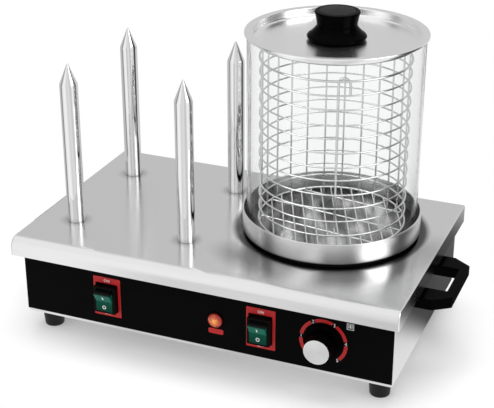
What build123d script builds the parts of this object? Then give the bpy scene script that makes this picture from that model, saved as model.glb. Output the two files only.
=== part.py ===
"""Hot dog spike machine: heated bun spikes and a glass steamer on one steel housing.

Millimetres, +Z up. The origin is on the floor, under the middle of the whole machine.
+X is to the right of someone facing the control panel, and +Y points to the back.
"""
from build123d import *
from math import atan2, cos, degrees, hypot, radians, sin, sqrt
import os

os.makedirs("parts", exist_ok=True)

# Housing
foot_height = 26.0
body_height = 104.0
cover_width = 480.0
cover_depth = 298.0
cover_sheet = 1.0
cover_lip = 22.0
cover_front_radius = 13.0
cover_edge_radius = 2.0
front_setback = 15.5
side_setback = 8.0
back_setback = 8.0
case_sheet = 1.2
case_corner_radius = 2.5
case_flange = 14.0
base_sheet = 1.2
base_margin = 0.6
panel_sheet = 0.8
panel_side_margin = 0.4
panel_bottom_margin = 3.9
vent_length = 60.0
vent_width = 4.0
vent_pitch = 12.0
vent_count = 6

# Feet
foot_top_radius = 14.0
foot_bottom_radius = 11.7
foot_edge_radius = 1.5
foot_side_inset = 20.7
foot_end_inset = 25.7
foot_socket_radius = 5.5
foot_socket_depth = 14.0

# Screws and nuts
screw_radius = 2.0
small_head_radius = 3.4
small_head_height = 1.8
screw_head_radius = 4.0
screw_head_height = 2.4
screw_gap = 0.2
nut_width = 7.0
nut_height = 3.2
stud_length = 7.0

# Carrying handles
handle_length = 114.0
handle_reach = 40.6
handle_thickness = 13.7
handle_drop = 28.0
handle_grip = 9.8
handle_arm = 28.5
handle_chamfer_x = 20.3
handle_chamfer_y = 14.5
handle_edge_radius = 1.6
handle_screw_length = 14.0

# Bun spikes
spike_from_side = 48.5
spike_from_pan = 40.5
spike_pitch_y = 153.5
spike_centre_y = 3.8
spike_radius = 10.8
spike_height = 200.0
spike_tip_height = 24.7
spike_tip_radius = 0.9
spike_shoulder_radius = 12.0
spike_bore_radius = 6.3
spike_bore_height = 165.0
spike_stub_radius = 8.0
spike_stub_length = 13.0
spike_washer_radius = 13.0
spike_washer_sheet = 1.5
spike_nut_width = 24.0
spike_nut_height = 6.0
heater_gap = 0.1
heater_tail = 6.0
heater_pin_radius = 0.9
heater_pin_length = 7.0
heater_pin_pitch = 5.0

# Hot plate under the pan
pan_from_side = 136.0
pan_centre_y = 24.5
plate_flange_radius = 98.5
plate_flange_sheet = 1.5
plate_body_radius = 91.5
plate_body_height = 10.5
plate_hole_gap = 1.0
seal_sheet = 1.5
seal_inset = 0.4
seal_overlap = 5.5
ring_heater_radius = 68.0
ring_heater_bore = 12.0
ring_heater_height = 6.0
ring_heater_tab = 9.0
pressure_plate_radius = 64.0
pressure_plate_sheet = 2.0
strap_width = 30.0
strap_sheet = 2.5
strap_leg_gap = 4.0
strap_foot = 12.0
plate_stud_radius = 4.0
plate_nut_width = 13.0
plate_nut_height = 6.5

# Steamer pan, glass and lid
pan_radius = 107.0
pan_height = 25.0
pan_sheet = 1.0
pan_corner_radius = 2.5
pan_rim_radius = 0.9
glass_radius = 102.0
glass_wall = 3.5
glass_edge = 0.8
lid_radius = 105.0
lid_top_height = 246.5
lid_sheet = 1.0
lid_hem_height = 2.6
lid_well_radius = 95.5
lid_well_depth = 9.5
lid_well_fillet = 3.0
knob_base_radius = 31.0
knob_flare_radius = 34.2
knob_flare_height = 4.4
knob_shoulder_radius = 27.5
knob_shoulder_height = 10.4
knob_waist_radius = 23.3
knob_waist_height = 16.6
knob_top_radius = 26.2
knob_height = 33.5
knob_edge_radius = 1.6
knob_base_pull = 0.5
knob_top_pull = 0.5
knob_screw_radius = 2.5
knob_screw_length = 16.0
knob_screw_head_radius = 5.0
knob_screw_head_height = 2.6

# Wire basket in the glass, with its angles in degrees from +X
basket_radius = 87.0
basket_wire = 1.0
basket_rim_wire = 1.3
basket_weld = 0.25
basket_upright_count = 13
basket_upright_pitch = 15.3
basket_upright_middle = 115.2
basket_ring_count = 13
basket_ring_pitch = 16.8
basket_floor_height = 10.7
basket_floor_pitch = 12.6
basket_floor_turn = 22.5
basket_floor_wires = 13
basket_floor_shift = 5.0
basket_cross_turn = -8.0
basket_cross_wires = 3
basket_cross_pitch = 46.0
basket_cross_shift = 10.0
lifter_wire = 1.5
lifter_height = 201.0
lifter_along = 21.8
lifter_hook_radius = 7.0
lifter_hook_tail = 12.0

# Controls
dial_from_side = 81.4
lamp_from_middle = 20.0
spike_switch_from_side = 111.0
plate_switch_from_side = 157.0
control_drop = 62.7
switch_drop = 64.0
dial_reach = 25.0
dial_gap = 1.0
dial_skirt_radius = 22.0
dial_skirt_height = 4.0
dial_skirt_hollow = 2.6
dial_skirt_wall = 2.0
dial_skirt_edge = 1.4
dial_body_radius = 16.6
dial_face_radius = 15.6
dial_cap_radius = 15.0
dial_cap_sheet = 0.8
dial_pointer_width = 2.6
dial_pointer_reach = 2.4
dial_pointer_length = 9.0
dial_pointer_corner = 0.8
dial_zero_angle = 230.0
shaft_radius = 3.0
shaft_gap = 0.05
shaft_hole_gap = 1.0
shaft_outer_reach = 18.0
shaft_inner_depth = 14.0
thermostat_width = 44.0
thermostat_height = 38.0
thermostat_depth = 20.0
thermostat_screw_pitch = 28.0
thermostat_corner = 3.0
thermostat_tab_pitch = 16.0
bulb_radius = 3.0
bulb_length = 56.0
bulb_from_centre = 79.0
capillary_radius = 1.0
capillary_bend = 9.0
bulb_clip_width = 12.0
bulb_clip_sheet = 1.0
bulb_clip_foot = 6.0
switch_width = 28.0
switch_length = 34.5
switch_bezel = 7.0
switch_corner = 1.5
switch_edge = 0.8
switch_tab_pitch = 10.0
switch_body_width = 24.4
switch_body_length = 32.0
switch_body_depth = 24.0
switch_cutout_gap = 0.2
switch_tab_width = 6.3
switch_tab_sheet = 0.8
switch_tab_length = 8.0
rocker_width = 21.0
rocker_gap = 0.3
rocker_pivot_out = 3.5
rocker_dip = 4.6
rocker_corner_out = 7.74
rocker_corner_up = 12.6
rocker_half_throw = 14.0
rocker_back_angle = 100.0
rocker_belly = 5.0
rocker_pin_radius = 1.5
rocker_pin_length = 2.0
rocker_pin_gap = 0.05
lamp_radius = 9.75
lamp_flange = 1.4
lamp_lens_radius = 8.6
lamp_lens_height = 4.0
lamp_body_radius = 6.8
lamp_body_depth = 26.0
lamp_wall = 1.2
lamp_nut_radius = 10.0
lamp_nut_height = 4.0
lamp_tab_width = 2.8
lamp_tab_pitch = 8.0

# Mains entry and wiring
gland_from_side = 82.0
gland_height = 60.0
gland_reach = 16.0
gland_bore_radius = 4.0
gland_thread_radius = 7.8
gland_thread_length = 14.0
gland_hex_width = 22.0
gland_hex_height = 5.0
gland_dome_radius = 9.6
gland_dome_edge = 3.5
gland_nut_width = 22.0
gland_nut_height = 4.5
terminal_from_back = 42.0
terminal_length = 58.0
terminal_width = 20.0
terminal_height = 16.0
terminal_step = 6.0
terminal_pole_count = 6
terminal_pole_pitch = 9.0
terminal_pole_radius = 1.8

# Levels and places worked out from the sizes above
deck_z = foot_height + body_height
deck_under_z = deck_z - cover_sheet
case_bottom_z = foot_height + base_sheet
case_width = cover_width - 2 * side_setback
case_depth = cover_depth - front_setback - back_setback
panel_y = dial_reach - (dial_reach + case_depth + gland_reach) / 2
case_back_y = panel_y + case_depth
case_front_y = panel_y + panel_sheet
case_middle_y = (case_front_y + case_back_y) / 2
case_inside_y = case_front_y + case_sheet
cover_front_y = panel_y - front_setback
cover_middle_y = cover_front_y + cover_depth / 2
control_z = deck_z - control_drop
switch_z = deck_z - switch_drop
pan_x = cover_width / 2 - pan_from_side
pan_y = cover_middle_y + pan_centre_y
seal_top_z = deck_z + seal_sheet
plate_top_z = seal_top_z + plate_flange_sheet
plate_under_z = seal_top_z - plate_body_height
pan_floor_z = plate_top_z + pan_sheet
lid_top_z = deck_z + lid_top_height
lid_floor_z = lid_top_z - lid_well_depth
glass_top_z = lid_top_z - lid_sheet
glass_bore = glass_radius - glass_wall
spike_columns = (spike_from_side - cover_width / 2, pan_x - pan_radius - spike_from_pan)
spike_rows = [cover_middle_y + spike_centre_y + row * spike_pitch_y / 2 for row in (-1, 1)]
spike_places = [(x, y) for y in spike_rows for x in spike_columns]
dial_x = case_width / 2 - dial_from_side
lamp_x = lamp_from_middle
spike_switch_x = spike_switch_from_side - case_width / 2
plate_switch_x = case_width / 2 - plate_switch_from_side
gland_x = gland_from_side - case_width / 2
foot_places = [
    (side * (case_width / 2 - foot_side_inset), end)
    for end in (panel_y + foot_end_inset, case_back_y - foot_end_inset)
    for side in (-1, 1)
]
front_face = Plane(origin=(0, panel_y, 0), x_dir=(1, 0, 0), z_dir=(0, -1, 0))
back_face = Plane(origin=(0, case_back_y, 0), x_dir=(-1, 0, 0), z_dir=(0, 1, 0))


def level(height):
    """A horizontal plane at a height above the floor."""
    return Plane.XY.offset(height)


def upright_section(x, y):
    """A vertical plane through a vertical axis, for profiles of turned pieces."""
    return Plane(origin=(x, y, 0), x_dir=(1, 0, 0), z_dir=(0, -1, 0))


def pan_head_screw(seat, head_radius, head_height, shank_radius, shank_length):
    """A screw whose head stands on the seat plane, with its shank behind the plane."""
    with BuildPart() as screw:
        with BuildSketch(seat):
            Circle(head_radius)
        extrude(amount=head_height)
        head_top = screw.edges().filter_by(GeomType.CIRCLE).group_by(Axis(seat.origin, seat.z_dir))[-1]
        fillet(head_top, head_height / 3)
        with BuildSketch(seat):
            Circle(shank_radius)
        extrude(amount=-shank_length)
    return screw.part


def hex_nut(seat, width, height, bore_radius):
    """A hexagon nut that stands on the seat plane, with an axial bore."""
    with BuildPart() as nut:
        with BuildSketch(seat):
            RegularPolygon(width / 2, 6, major_radius=False)
            Circle(bore_radius, mode=Mode.SUBTRACT)
        extrude(amount=height)
    return nut.part


# Top cover: a folded steel tray, upside down, with a rounded front edge
def cover_blank(width, front_y, back_y, bottom_z, top_z, front_radius, edge_radius):
    """A solid block with the cover's rounded front, back and end folds."""
    with BuildPart() as blank:
        with BuildSketch(Plane.YZ.offset(-width / 2)) as side:
            with BuildLine():
                Polyline(
                    (front_y, bottom_z), (front_y, top_z), (back_y, top_z), (back_y, bottom_z), close=True
                )
            make_face()
            fillet(side.vertices().group_by(Axis.Y)[-1].sort_by(Axis.X)[0], front_radius)
            fillet(side.vertices().group_by(Axis.Y)[-1].sort_by(Axis.X)[-1], edge_radius)
        extrude(amount=width)
        folds = [
            edge
            for end in blank.faces().filter_by(Axis.X)
            for edge in end.edges()
            if edge.center().Z > bottom_z + edge_radius
        ]
        fillet(folds, edge_radius)
    return blank.part


cover_outside = cover_blank(
    cover_width,
    cover_front_y,
    cover_front_y + cover_depth,
    deck_z - cover_lip,
    deck_z,
    cover_front_radius,
    cover_edge_radius,
)
cover_inside = cover_blank(
    cover_width - 2 * cover_sheet,
    cover_front_y + cover_sheet,
    cover_front_y + cover_depth - cover_sheet,
    deck_z - cover_lip - cover_sheet,
    deck_under_z,
    cover_front_radius - cover_sheet,
    cover_edge_radius - cover_sheet,
)
stud_x = case_width / 2 - case_sheet - case_flange / 2
stud_rows = [case_middle_y + row * case_depth / 3 for row in (-1, 0, 1)]
stud_places = [(side * stud_x, y) for side in (-1, 1) for y in stud_rows]
plate_hole_radius = plate_body_radius + plate_hole_gap

with BuildPart() as top_cover:
    add(cover_outside)
    add(cover_inside, mode=Mode.SUBTRACT)
    with BuildSketch(level(deck_z)):
        with Locations((pan_x, pan_y)):
            Circle(plate_hole_radius)
        with Locations(*spike_places):
            Circle(spike_stub_radius + screw_gap)
    extrude(amount=-cover_sheet, mode=Mode.SUBTRACT)
    with BuildSketch(level(deck_under_z)):
        with Locations(*stud_places):
            Circle(screw_radius)
    extrude(amount=-stud_length)
top_cover.part.label = "top_cover"
export_step(top_cover.part, "parts/top_cover.step")

# Case: four walls with flanges turned in at the top and the bottom, drawn as one box and parted
switch_places = [(spike_switch_x, switch_z), (plate_switch_x, switch_z)]
thermostat_screw_places = [
    (dial_x - thermostat_screw_pitch / 2, control_z),
    (dial_x + thermostat_screw_pitch / 2, control_z),
]
handle_z = deck_z - handle_drop - handle_thickness / 2
handle_screw_y = handle_length / 2 - handle_arm / 2
handle_screw_places = [(end * handle_screw_y + cover_middle_y, handle_z) for end in (-1, 1)]
switch_cutout_width = switch_body_width + 2 * switch_cutout_gap
switch_cutout_length = switch_body_length + 2 * switch_cutout_gap
base_screw_places = [
    (side * stud_x, case_middle_y + row * case_depth / 5) for side in (-1, 1) for row in (-1, 1)
]

with BuildPart() as case_box:
    with BuildSketch(level(case_bottom_z)):
        with Locations((0, case_middle_y)):
            RectangleRounded(case_width, case_back_y - case_front_y, case_corner_radius)
    extrude(amount=deck_under_z - case_bottom_z)
    with BuildSketch(level(case_bottom_z + case_sheet)):
        with Locations((0, case_middle_y)):
            RectangleRounded(
                case_width - 2 * case_sheet,
                case_back_y - case_front_y - 2 * case_sheet,
                case_corner_radius - case_sheet,
            )
    extrude(amount=deck_under_z - case_bottom_z - 2 * case_sheet, mode=Mode.SUBTRACT)
    with BuildSketch(level(case_bottom_z)):
        with Locations((0, case_middle_y)):
            Rectangle(
                case_width - 2 * (case_sheet + case_flange),
                case_back_y - case_front_y - 2 * (case_sheet + case_flange),
            )
    extrude(amount=deck_under_z - case_bottom_z, mode=Mode.SUBTRACT)
    with BuildSketch(front_face):
        with Locations(*switch_places):
            Rectangle(switch_cutout_width, switch_cutout_length)
        with Locations((lamp_x, control_z)):
            Circle(lamp_body_radius + screw_gap)
        with Locations((dial_x, control_z)):
            Circle(shaft_radius + shaft_hole_gap)
        with Locations(*thermostat_screw_places):
            Circle(screw_radius + screw_gap)
    extrude(amount=-(panel_sheet + 2 * case_sheet), mode=Mode.SUBTRACT)
    with BuildSketch(back_face):
        with Locations((-gland_x, gland_height)):
            Circle(gland_thread_radius + screw_gap)
    extrude(amount=-2 * case_sheet, mode=Mode.SUBTRACT)
    with BuildSketch(Plane.YZ.offset(-case_width / 2)):
        with Locations(*handle_screw_places):
            Circle(screw_radius + screw_gap)
    extrude(amount=case_width, mode=Mode.SUBTRACT)
    with BuildSketch(level(deck_under_z)):
        with Locations(*stud_places):
            Circle(screw_radius + screw_gap)
    extrude(amount=-2 * case_sheet, mode=Mode.SUBTRACT)
    with BuildSketch(level(case_bottom_z)):
        with Locations(*base_screw_places):
            Circle(screw_radius + screw_gap)
    extrude(amount=2 * case_sheet, mode=Mode.SUBTRACT)

case_fold = case_sheet + case_flange
side_start_y = case_front_y + case_fold
side_end_y = case_back_y - case_fold
case_walls = (
    ("case_front", -case_width / 2, case_width / 2, case_front_y, side_start_y),
    ("case_back", -case_width / 2, case_width / 2, side_end_y, case_back_y),
    ("case_left", -case_width / 2, 0, side_start_y, side_end_y),
    ("case_right", 0, case_width / 2, side_start_y, side_end_y),
)
for wall_name, left_x, right_x, near_y, far_y in case_walls:
    with BuildPart() as case_wall:
        add(case_box.part)
        with BuildSketch(level(case_bottom_z)):
            with Locations(((left_x + right_x) / 2, (near_y + far_y) / 2)):
                Rectangle(right_x - left_x, far_y - near_y)
        extrude(amount=deck_under_z - case_bottom_z, mode=Mode.INTERSECT)
    case_wall.part.label = wall_name
    export_step(case_wall.part, f"parts/{wall_name}.step")

with BuildPart() as cover_nuts:
    for x, y in stud_places:
        seat = Plane(origin=(x, y, deck_under_z - case_sheet), x_dir=(1, 0, 0), z_dir=(0, 0, -1))
        add(hex_nut(seat, nut_width, nut_height, screw_radius + shaft_gap))
cover_nuts.part.label = "cover_nuts"
export_step(cover_nuts.part, "parts/cover_nuts.step")

# Base plate: closes the underside and carries the feet
with BuildPart() as base_plate:
    with BuildSketch(level(foot_height)):
        with Locations((0, case_middle_y)):
            RectangleRounded(
                case_width - 2 * base_margin,
                case_back_y - case_front_y - 2 * base_margin,
                case_corner_radius,
            )
        with Locations(*foot_places):
            Circle(screw_radius + screw_gap, mode=Mode.SUBTRACT)
        with Locations(*base_screw_places):
            Circle(screw_radius + screw_gap, mode=Mode.SUBTRACT)
        with Locations((0, case_middle_y)):
            with GridLocations(0, vent_pitch, 1, vent_count):
                SlotOverall(vent_length, vent_width, mode=Mode.SUBTRACT)
    extrude(amount=base_sheet)
base_plate.part.label = "base_plate"
export_step(base_plate.part, "parts/base_plate.step")

with BuildPart() as base_screws:
    for x, y in base_screw_places:
        seat = Plane(origin=(x, y, foot_height), x_dir=(1, 0, 0), z_dir=(0, 0, -1))
        add(
            pan_head_screw(seat, screw_head_radius, screw_head_height, screw_radius, nut_height + stud_length)
        )
base_screws.part.label = "base_screws"
export_step(base_screws.part, "parts/base_screws.step")

# Feet: tapered rubber, each with a screw up through its socket
foot_names = ["front_left_foot", "front_right_foot", "rear_left_foot", "rear_right_foot"]
for foot_name, (x, y) in zip(foot_names, foot_places):
    with BuildPart() as foot:
        with BuildSketch(upright_section(x, y)) as profile:
            with BuildLine():
                Polyline(
                    (0, 0),
                    (foot_bottom_radius, 0),
                    (foot_top_radius, foot_height),
                    (0, foot_height),
                    close=True,
                )
            make_face()
            fillet(profile.vertices().group_by(Axis.Y)[0].sort_by(Axis.X)[-1], foot_edge_radius)
        revolve(axis=Axis((x, y, 0), (0, 0, 1)))
        with BuildSketch(level(0)):
            with Locations((x, y)):
                Circle(foot_socket_radius)
        extrude(amount=foot_socket_depth, mode=Mode.SUBTRACT)
        with BuildSketch(level(0)):
            with Locations((x, y)):
                Circle(screw_radius + screw_gap)
        extrude(amount=foot_height, mode=Mode.SUBTRACT)
    foot.part.label = foot_name
    export_step(foot.part, f"parts/{foot_name}.step")

foot_screw_length = foot_height - foot_socket_depth + base_sheet + nut_height + 1
with BuildPart() as foot_screws:
    for x, y in foot_places:
        seat = Plane(origin=(x, y, foot_socket_depth), x_dir=(1, 0, 0), z_dir=(0, 0, -1))
        add(pan_head_screw(seat, screw_head_radius, screw_head_height, screw_radius, foot_screw_length))
foot_screws.part.label = "foot_screws"
export_step(foot_screws.part, "parts/foot_screws.step")

with BuildPart() as foot_nuts:
    for x, y in foot_places:
        seat = Plane(origin=(x, y, case_bottom_z), x_dir=(1, 0, 0), z_dir=(0, 0, 1))
        add(hex_nut(seat, nut_width, nut_height, screw_radius + shaft_gap))
foot_nuts.part.label = "foot_nuts"
export_step(foot_nuts.part, "parts/foot_nuts.step")

# Front panel: the black plate on the front of the case
panel_bottom_z = foot_height + panel_bottom_margin
panel_height = deck_under_z - panel_bottom_z
with BuildPart() as front_panel:
    with BuildSketch(front_face):
        with Locations((0, panel_bottom_z + panel_height / 2)):
            Rectangle(case_width - 2 * panel_side_margin, panel_height)
        with Locations(*switch_places):
            Rectangle(switch_cutout_width, switch_cutout_length, mode=Mode.SUBTRACT)
        with Locations((lamp_x, control_z)):
            Circle(lamp_body_radius + screw_gap, mode=Mode.SUBTRACT)
        with Locations((dial_x, control_z)):
            Circle(shaft_radius + shaft_hole_gap, mode=Mode.SUBTRACT)
        with Locations(*thermostat_screw_places):
            Circle(screw_radius + screw_gap, mode=Mode.SUBTRACT)
    extrude(amount=-panel_sheet)
front_panel.part.label = "front_panel"
export_step(front_panel.part, "parts/front_panel.step")

# Carrying handles: a flat moulded loop on each end of the case
for handle_name, side in (("left_handle", -1), ("right_handle", 1)):
    wall_x = side * case_width / 2
    outer_x = wall_x + side * handle_reach
    chamfer_x = outer_x - side * handle_chamfer_x
    grip_x = outer_x - side * handle_grip
    half = handle_length / 2
    with BuildPart() as handle:
        with BuildSketch(level(handle_z - handle_thickness / 2)):
            with BuildLine():
                Polyline(
                    (wall_x, cover_middle_y - half),
                    (chamfer_x, cover_middle_y - half),
                    (outer_x, cover_middle_y - half + handle_chamfer_y),
                    (outer_x, cover_middle_y + half - handle_chamfer_y),
                    (chamfer_x, cover_middle_y + half),
                    (wall_x, cover_middle_y + half),
                    close=True,
                )
            make_face()
            with BuildLine():
                Polyline(
                    (wall_x, cover_middle_y - half + handle_arm),
                    (grip_x, cover_middle_y - half + handle_arm),
                    (grip_x, cover_middle_y + half - handle_arm),
                    (wall_x, cover_middle_y + half - handle_arm),
                    close=True,
                )
            make_face(mode=Mode.SUBTRACT)
        extrude(amount=handle_thickness)
        outer_edges = handle.edges().filter_by(lambda edge: abs(edge.center().X) > case_width / 2 + 0.1)
        fillet(outer_edges, handle_edge_radius)
        with BuildSketch(Plane.YZ.offset(wall_x)):
            with Locations(*handle_screw_places):
                Circle(screw_radius + shaft_gap)
        extrude(amount=side * (handle_screw_length - case_sheet + screw_gap), mode=Mode.SUBTRACT)
    handle.part.label = handle_name
    export_step(handle.part, f"parts/{handle_name}.step")

with BuildPart() as handle_screws:
    for side in (-1, 1):
        for y, z in handle_screw_places:
            seat = Plane(
                origin=(side * (case_width / 2 - case_sheet), y, z), x_dir=(0, 1, 0), z_dir=(-side, 0, 0)
            )
            add(pan_head_screw(seat, screw_head_radius, screw_head_height, screw_radius, handle_screw_length))
handle_screws.part.label = "handle_screws"
export_step(handle_screws.part, "parts/handle_screws.step")

# Bun spikes: closed steel tubes with a threaded stub under the cover
spike_names = ["front_left_spike", "front_right_spike", "rear_left_spike", "rear_right_spike"]
shoulder_z = deck_z + spike_height - spike_tip_height
for spike_name, (x, y) in zip(spike_names, spike_places):
    with BuildPart() as spike:
        with BuildSketch(upright_section(x, y)) as profile:
            with BuildLine():
                Polyline(
                    (0, deck_z - spike_stub_length),
                    (spike_stub_radius, deck_z - spike_stub_length),
                    (spike_stub_radius, deck_z),
                    (spike_radius, deck_z),
                    (spike_radius, shoulder_z),
                    (spike_tip_radius, deck_z + spike_height),
                    (0, deck_z + spike_height),
                    close=True,
                )
            make_face()
            fillet(profile.vertices().group_by(Axis.Y)[2], spike_shoulder_radius)
        revolve(axis=Axis((x, y, 0), (0, 0, 1)))
        tip_edge = spike.edges().filter_by(GeomType.CIRCLE).sort_by(Axis.Z)[-1]
        fillet(tip_edge, spike_tip_radius * 0.8)
        with BuildSketch(level(deck_z - spike_stub_length)):
            with Locations((x, y)):
                Circle(spike_bore_radius)
        extrude(amount=spike_stub_length + spike_bore_height, mode=Mode.SUBTRACT)
    spike.part.label = spike_name
    export_step(spike.part, f"parts/{spike_name}.step")

# Cartridge heaters up the bores, each with two terminal pins below
heater_bottom_z = deck_z - spike_stub_length - heater_tail
with BuildPart() as spike_heaters:
    for x, y in spike_places:
        with BuildSketch(level(heater_bottom_z)):
            with Locations((x, y)):
                Circle(spike_bore_radius - heater_gap)
        extrude(amount=heater_tail + spike_stub_length + spike_bore_height)
        with BuildSketch(level(heater_bottom_z)):
            with Locations((x - heater_pin_pitch / 2, y), (x + heater_pin_pitch / 2, y)):
                Circle(heater_pin_radius)
        extrude(amount=-heater_pin_length)
spike_heaters.part.label = "spike_heaters"
export_step(spike_heaters.part, "parts/spike_heaters.step")

with BuildPart() as spike_washers:
    with BuildSketch(level(deck_under_z)):
        with Locations(*spike_places):
            Circle(spike_washer_radius)
            Circle(spike_stub_radius + screw_gap, mode=Mode.SUBTRACT)
    extrude(amount=-spike_washer_sheet)
spike_washers.part.label = "spike_washers"
export_step(spike_washers.part, "parts/spike_washers.step")

with BuildPart() as spike_nuts:
    for x, y in spike_places:
        seat = Plane(origin=(x, y, deck_under_z - spike_washer_sheet), x_dir=(1, 0, 0), z_dir=(0, 0, -1))
        add(hex_nut(seat, spike_nut_width, spike_nut_height, spike_stub_radius + shaft_gap))
spike_nuts.part.label = "spike_nuts"
export_step(spike_nuts.part, "parts/spike_nuts.step")

# Hot plate, drawn down on its seal by a strap under the cover
with BuildPart() as plate_seal:
    with BuildSketch(level(deck_z)):
        with Locations((pan_x, pan_y)):
            Circle(plate_flange_radius - seal_inset)
            Circle(plate_flange_radius - seal_inset - seal_overlap, mode=Mode.SUBTRACT)
    extrude(amount=seal_sheet)
plate_seal.part.label = "plate_seal"
export_step(plate_seal.part, "parts/plate_seal.step")

heater_under_z = plate_under_z - ring_heater_height
pressure_under_z = heater_under_z - pressure_plate_sheet
strap_under_z = pressure_under_z - strap_sheet
plate_stud_bottom_z = strap_under_z - plate_nut_height - 2
with BuildPart() as hot_plate:
    with BuildSketch(level(plate_top_z)):
        with Locations((pan_x, pan_y)):
            Circle(plate_flange_radius)
    extrude(amount=-plate_flange_sheet)
    with BuildSketch(level(seal_top_z)):
        with Locations((pan_x, pan_y)):
            Circle(plate_body_radius)
    extrude(amount=-plate_body_height)
    with BuildSketch(level(plate_under_z)):
        with Locations((pan_x, pan_y)):
            Circle(plate_stud_radius)
    extrude(amount=-(plate_under_z - plate_stud_bottom_z))
hot_plate.part.label = "hot_plate"
export_step(hot_plate.part, "parts/hot_plate.step")

with BuildPart() as ring_heater:
    with BuildSketch(level(plate_under_z)):
        with Locations((pan_x, pan_y)):
            Circle(ring_heater_radius)
            Circle(ring_heater_bore, mode=Mode.SUBTRACT)
    extrude(amount=-ring_heater_height)
    with BuildSketch(Plane.XZ.offset(-pan_y - ring_heater_radius)):
        with Locations(
            (pan_x - ring_heater_tab, plate_under_z - ring_heater_height / 2),
            (pan_x + ring_heater_tab, plate_under_z - ring_heater_height / 2),
        ):
            Rectangle(switch_tab_width, switch_tab_sheet)
    extrude(amount=switch_tab_length, both=True)
ring_heater.part.label = "ring_heater"
export_step(ring_heater.part, "parts/ring_heater.step")

with BuildPart() as pressure_plate:
    with BuildSketch(level(heater_under_z)):
        with Locations((pan_x, pan_y)):
            Circle(pressure_plate_radius)
            Circle(plate_stud_radius + screw_gap, mode=Mode.SUBTRACT)
    extrude(amount=-pressure_plate_sheet)
pressure_plate.part.label = "pressure_plate"
export_step(pressure_plate.part, "parts/pressure_plate.step")

strap_leg_x = plate_body_radius + strap_leg_gap
with BuildPart() as plate_strap:
    with BuildSketch(Plane(origin=(pan_x, pan_y, 0), x_dir=(1, 0, 0), z_dir=(0, -1, 0))):
        with BuildLine():
            Polyline(
                (-strap_leg_x - strap_foot, deck_under_z),
                (-strap_leg_x, deck_under_z),
                (-strap_leg_x, pressure_under_z),
                (strap_leg_x, pressure_under_z),
                (strap_leg_x, deck_under_z),
                (strap_leg_x + strap_foot, deck_under_z),
                (strap_leg_x + strap_foot, deck_under_z - strap_sheet),
                (strap_leg_x + strap_sheet, deck_under_z - strap_sheet),
                (strap_leg_x + strap_sheet, strap_under_z),
                (-strap_leg_x - strap_sheet, strap_under_z),
                (-strap_leg_x - strap_sheet, deck_under_z - strap_sheet),
                (-strap_leg_x - strap_foot, deck_under_z - strap_sheet),
                close=True,
            )
        make_face()
    extrude(amount=strap_width / 2, both=True)
    with BuildSketch(level(pressure_under_z)):
        with Locations((pan_x, pan_y)):
            Circle(plate_stud_radius + screw_gap)
    extrude(amount=-strap_sheet, mode=Mode.SUBTRACT)
plate_strap.part.label = "plate_strap"
export_step(plate_strap.part, "parts/plate_strap.step")

plate_nut_seat = Plane(origin=(pan_x, pan_y, strap_under_z), x_dir=(1, 0, 0), z_dir=(0, 0, -1))
with BuildPart() as plate_nut:
    add(hex_nut(plate_nut_seat, plate_nut_width, plate_nut_height, plate_stud_radius + shaft_gap))
plate_nut.part.label = "plate_nut"
export_step(plate_nut.part, "parts/plate_nut.step")

# Thermostat: body behind the panel, turning shaft, capillary and bulb
thermostat_front_y = case_inside_y
thermostat_back_y = thermostat_front_y + thermostat_depth
thermostat_screw_length = panel_sheet + case_sheet + stud_length - shaft_hole_gap
with BuildPart() as thermostat_body:
    with BuildSketch(front_face.offset(-(thermostat_front_y - panel_y))):
        with Locations((dial_x, control_z)):
            RectangleRounded(thermostat_width, thermostat_height, thermostat_corner)
    extrude(amount=-thermostat_depth)
    with BuildSketch(front_face.offset(-(thermostat_front_y - panel_y))):
        with Locations((dial_x, control_z)):
            Circle(shaft_radius + shaft_gap)
    extrude(amount=-shaft_inner_depth, mode=Mode.SUBTRACT)
    with BuildSketch(front_face.offset(-(thermostat_front_y - panel_y))):
        with Locations(*thermostat_screw_places):
            Circle(screw_radius + shaft_gap)
    extrude(amount=-stud_length, mode=Mode.SUBTRACT)
    with BuildSketch(front_face.offset(-(thermostat_back_y - panel_y))):
        with Locations((dial_x - thermostat_width / 3, control_z)):
            with GridLocations(0, thermostat_tab_pitch, 1, 2):
                Rectangle(switch_tab_sheet, switch_tab_width)
    extrude(amount=-switch_tab_length)
thermostat_body.part.label = "thermostat_body"
export_step(thermostat_body.part, "parts/thermostat_body.step")

with BuildPart() as thermostat_screws:
    for x, z in thermostat_screw_places:
        seat = Plane(origin=(x, panel_y, z), x_dir=(1, 0, 0), z_dir=(0, -1, 0))
        add(pan_head_screw(seat, small_head_radius, small_head_height, screw_radius, thermostat_screw_length))
thermostat_screws.part.label = "thermostat_screws"
export_step(thermostat_screws.part, "parts/thermostat_screws.step")

with BuildPart() as thermostat_shaft:
    with BuildSketch(front_face.offset(shaft_outer_reach)):
        with Locations((dial_x, control_z)):
            Circle(shaft_radius)
    extrude(amount=-(shaft_outer_reach + thermostat_front_y - panel_y + shaft_inner_depth - screw_gap))
thermostat_shaft.part.label = "thermostat_shaft"
export_step(thermostat_shaft.part, "parts/thermostat_shaft.step")

bulb_y = pan_y - bulb_from_centre
bulb_z = plate_under_z - bulb_radius
bulb_end_x = pan_x + bulb_length / 2
capillary_x = dial_x + thermostat_width / 4
with BuildPart() as thermostat_bulb:
    with BuildSketch(Plane.YZ.offset(pan_x - bulb_length / 2)):
        with Locations((bulb_y, bulb_z)):
            Circle(bulb_radius)
    extrude(amount=bulb_length)
    with BuildLine():
        FilletPolyline(
            (bulb_end_x, bulb_y, bulb_z),
            (capillary_x, bulb_y, bulb_z),
            (capillary_x, bulb_y, control_z),
            (capillary_x, thermostat_back_y, control_z),
            radius=capillary_bend,
        )
    with BuildSketch(Plane.YZ.offset(bulb_end_x)):
        with Locations((bulb_y, bulb_z)):
            Circle(capillary_radius)
    sweep()
thermostat_bulb.part.label = "thermostat_bulb"
export_step(thermostat_bulb.part, "parts/thermostat_bulb.step")

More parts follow.
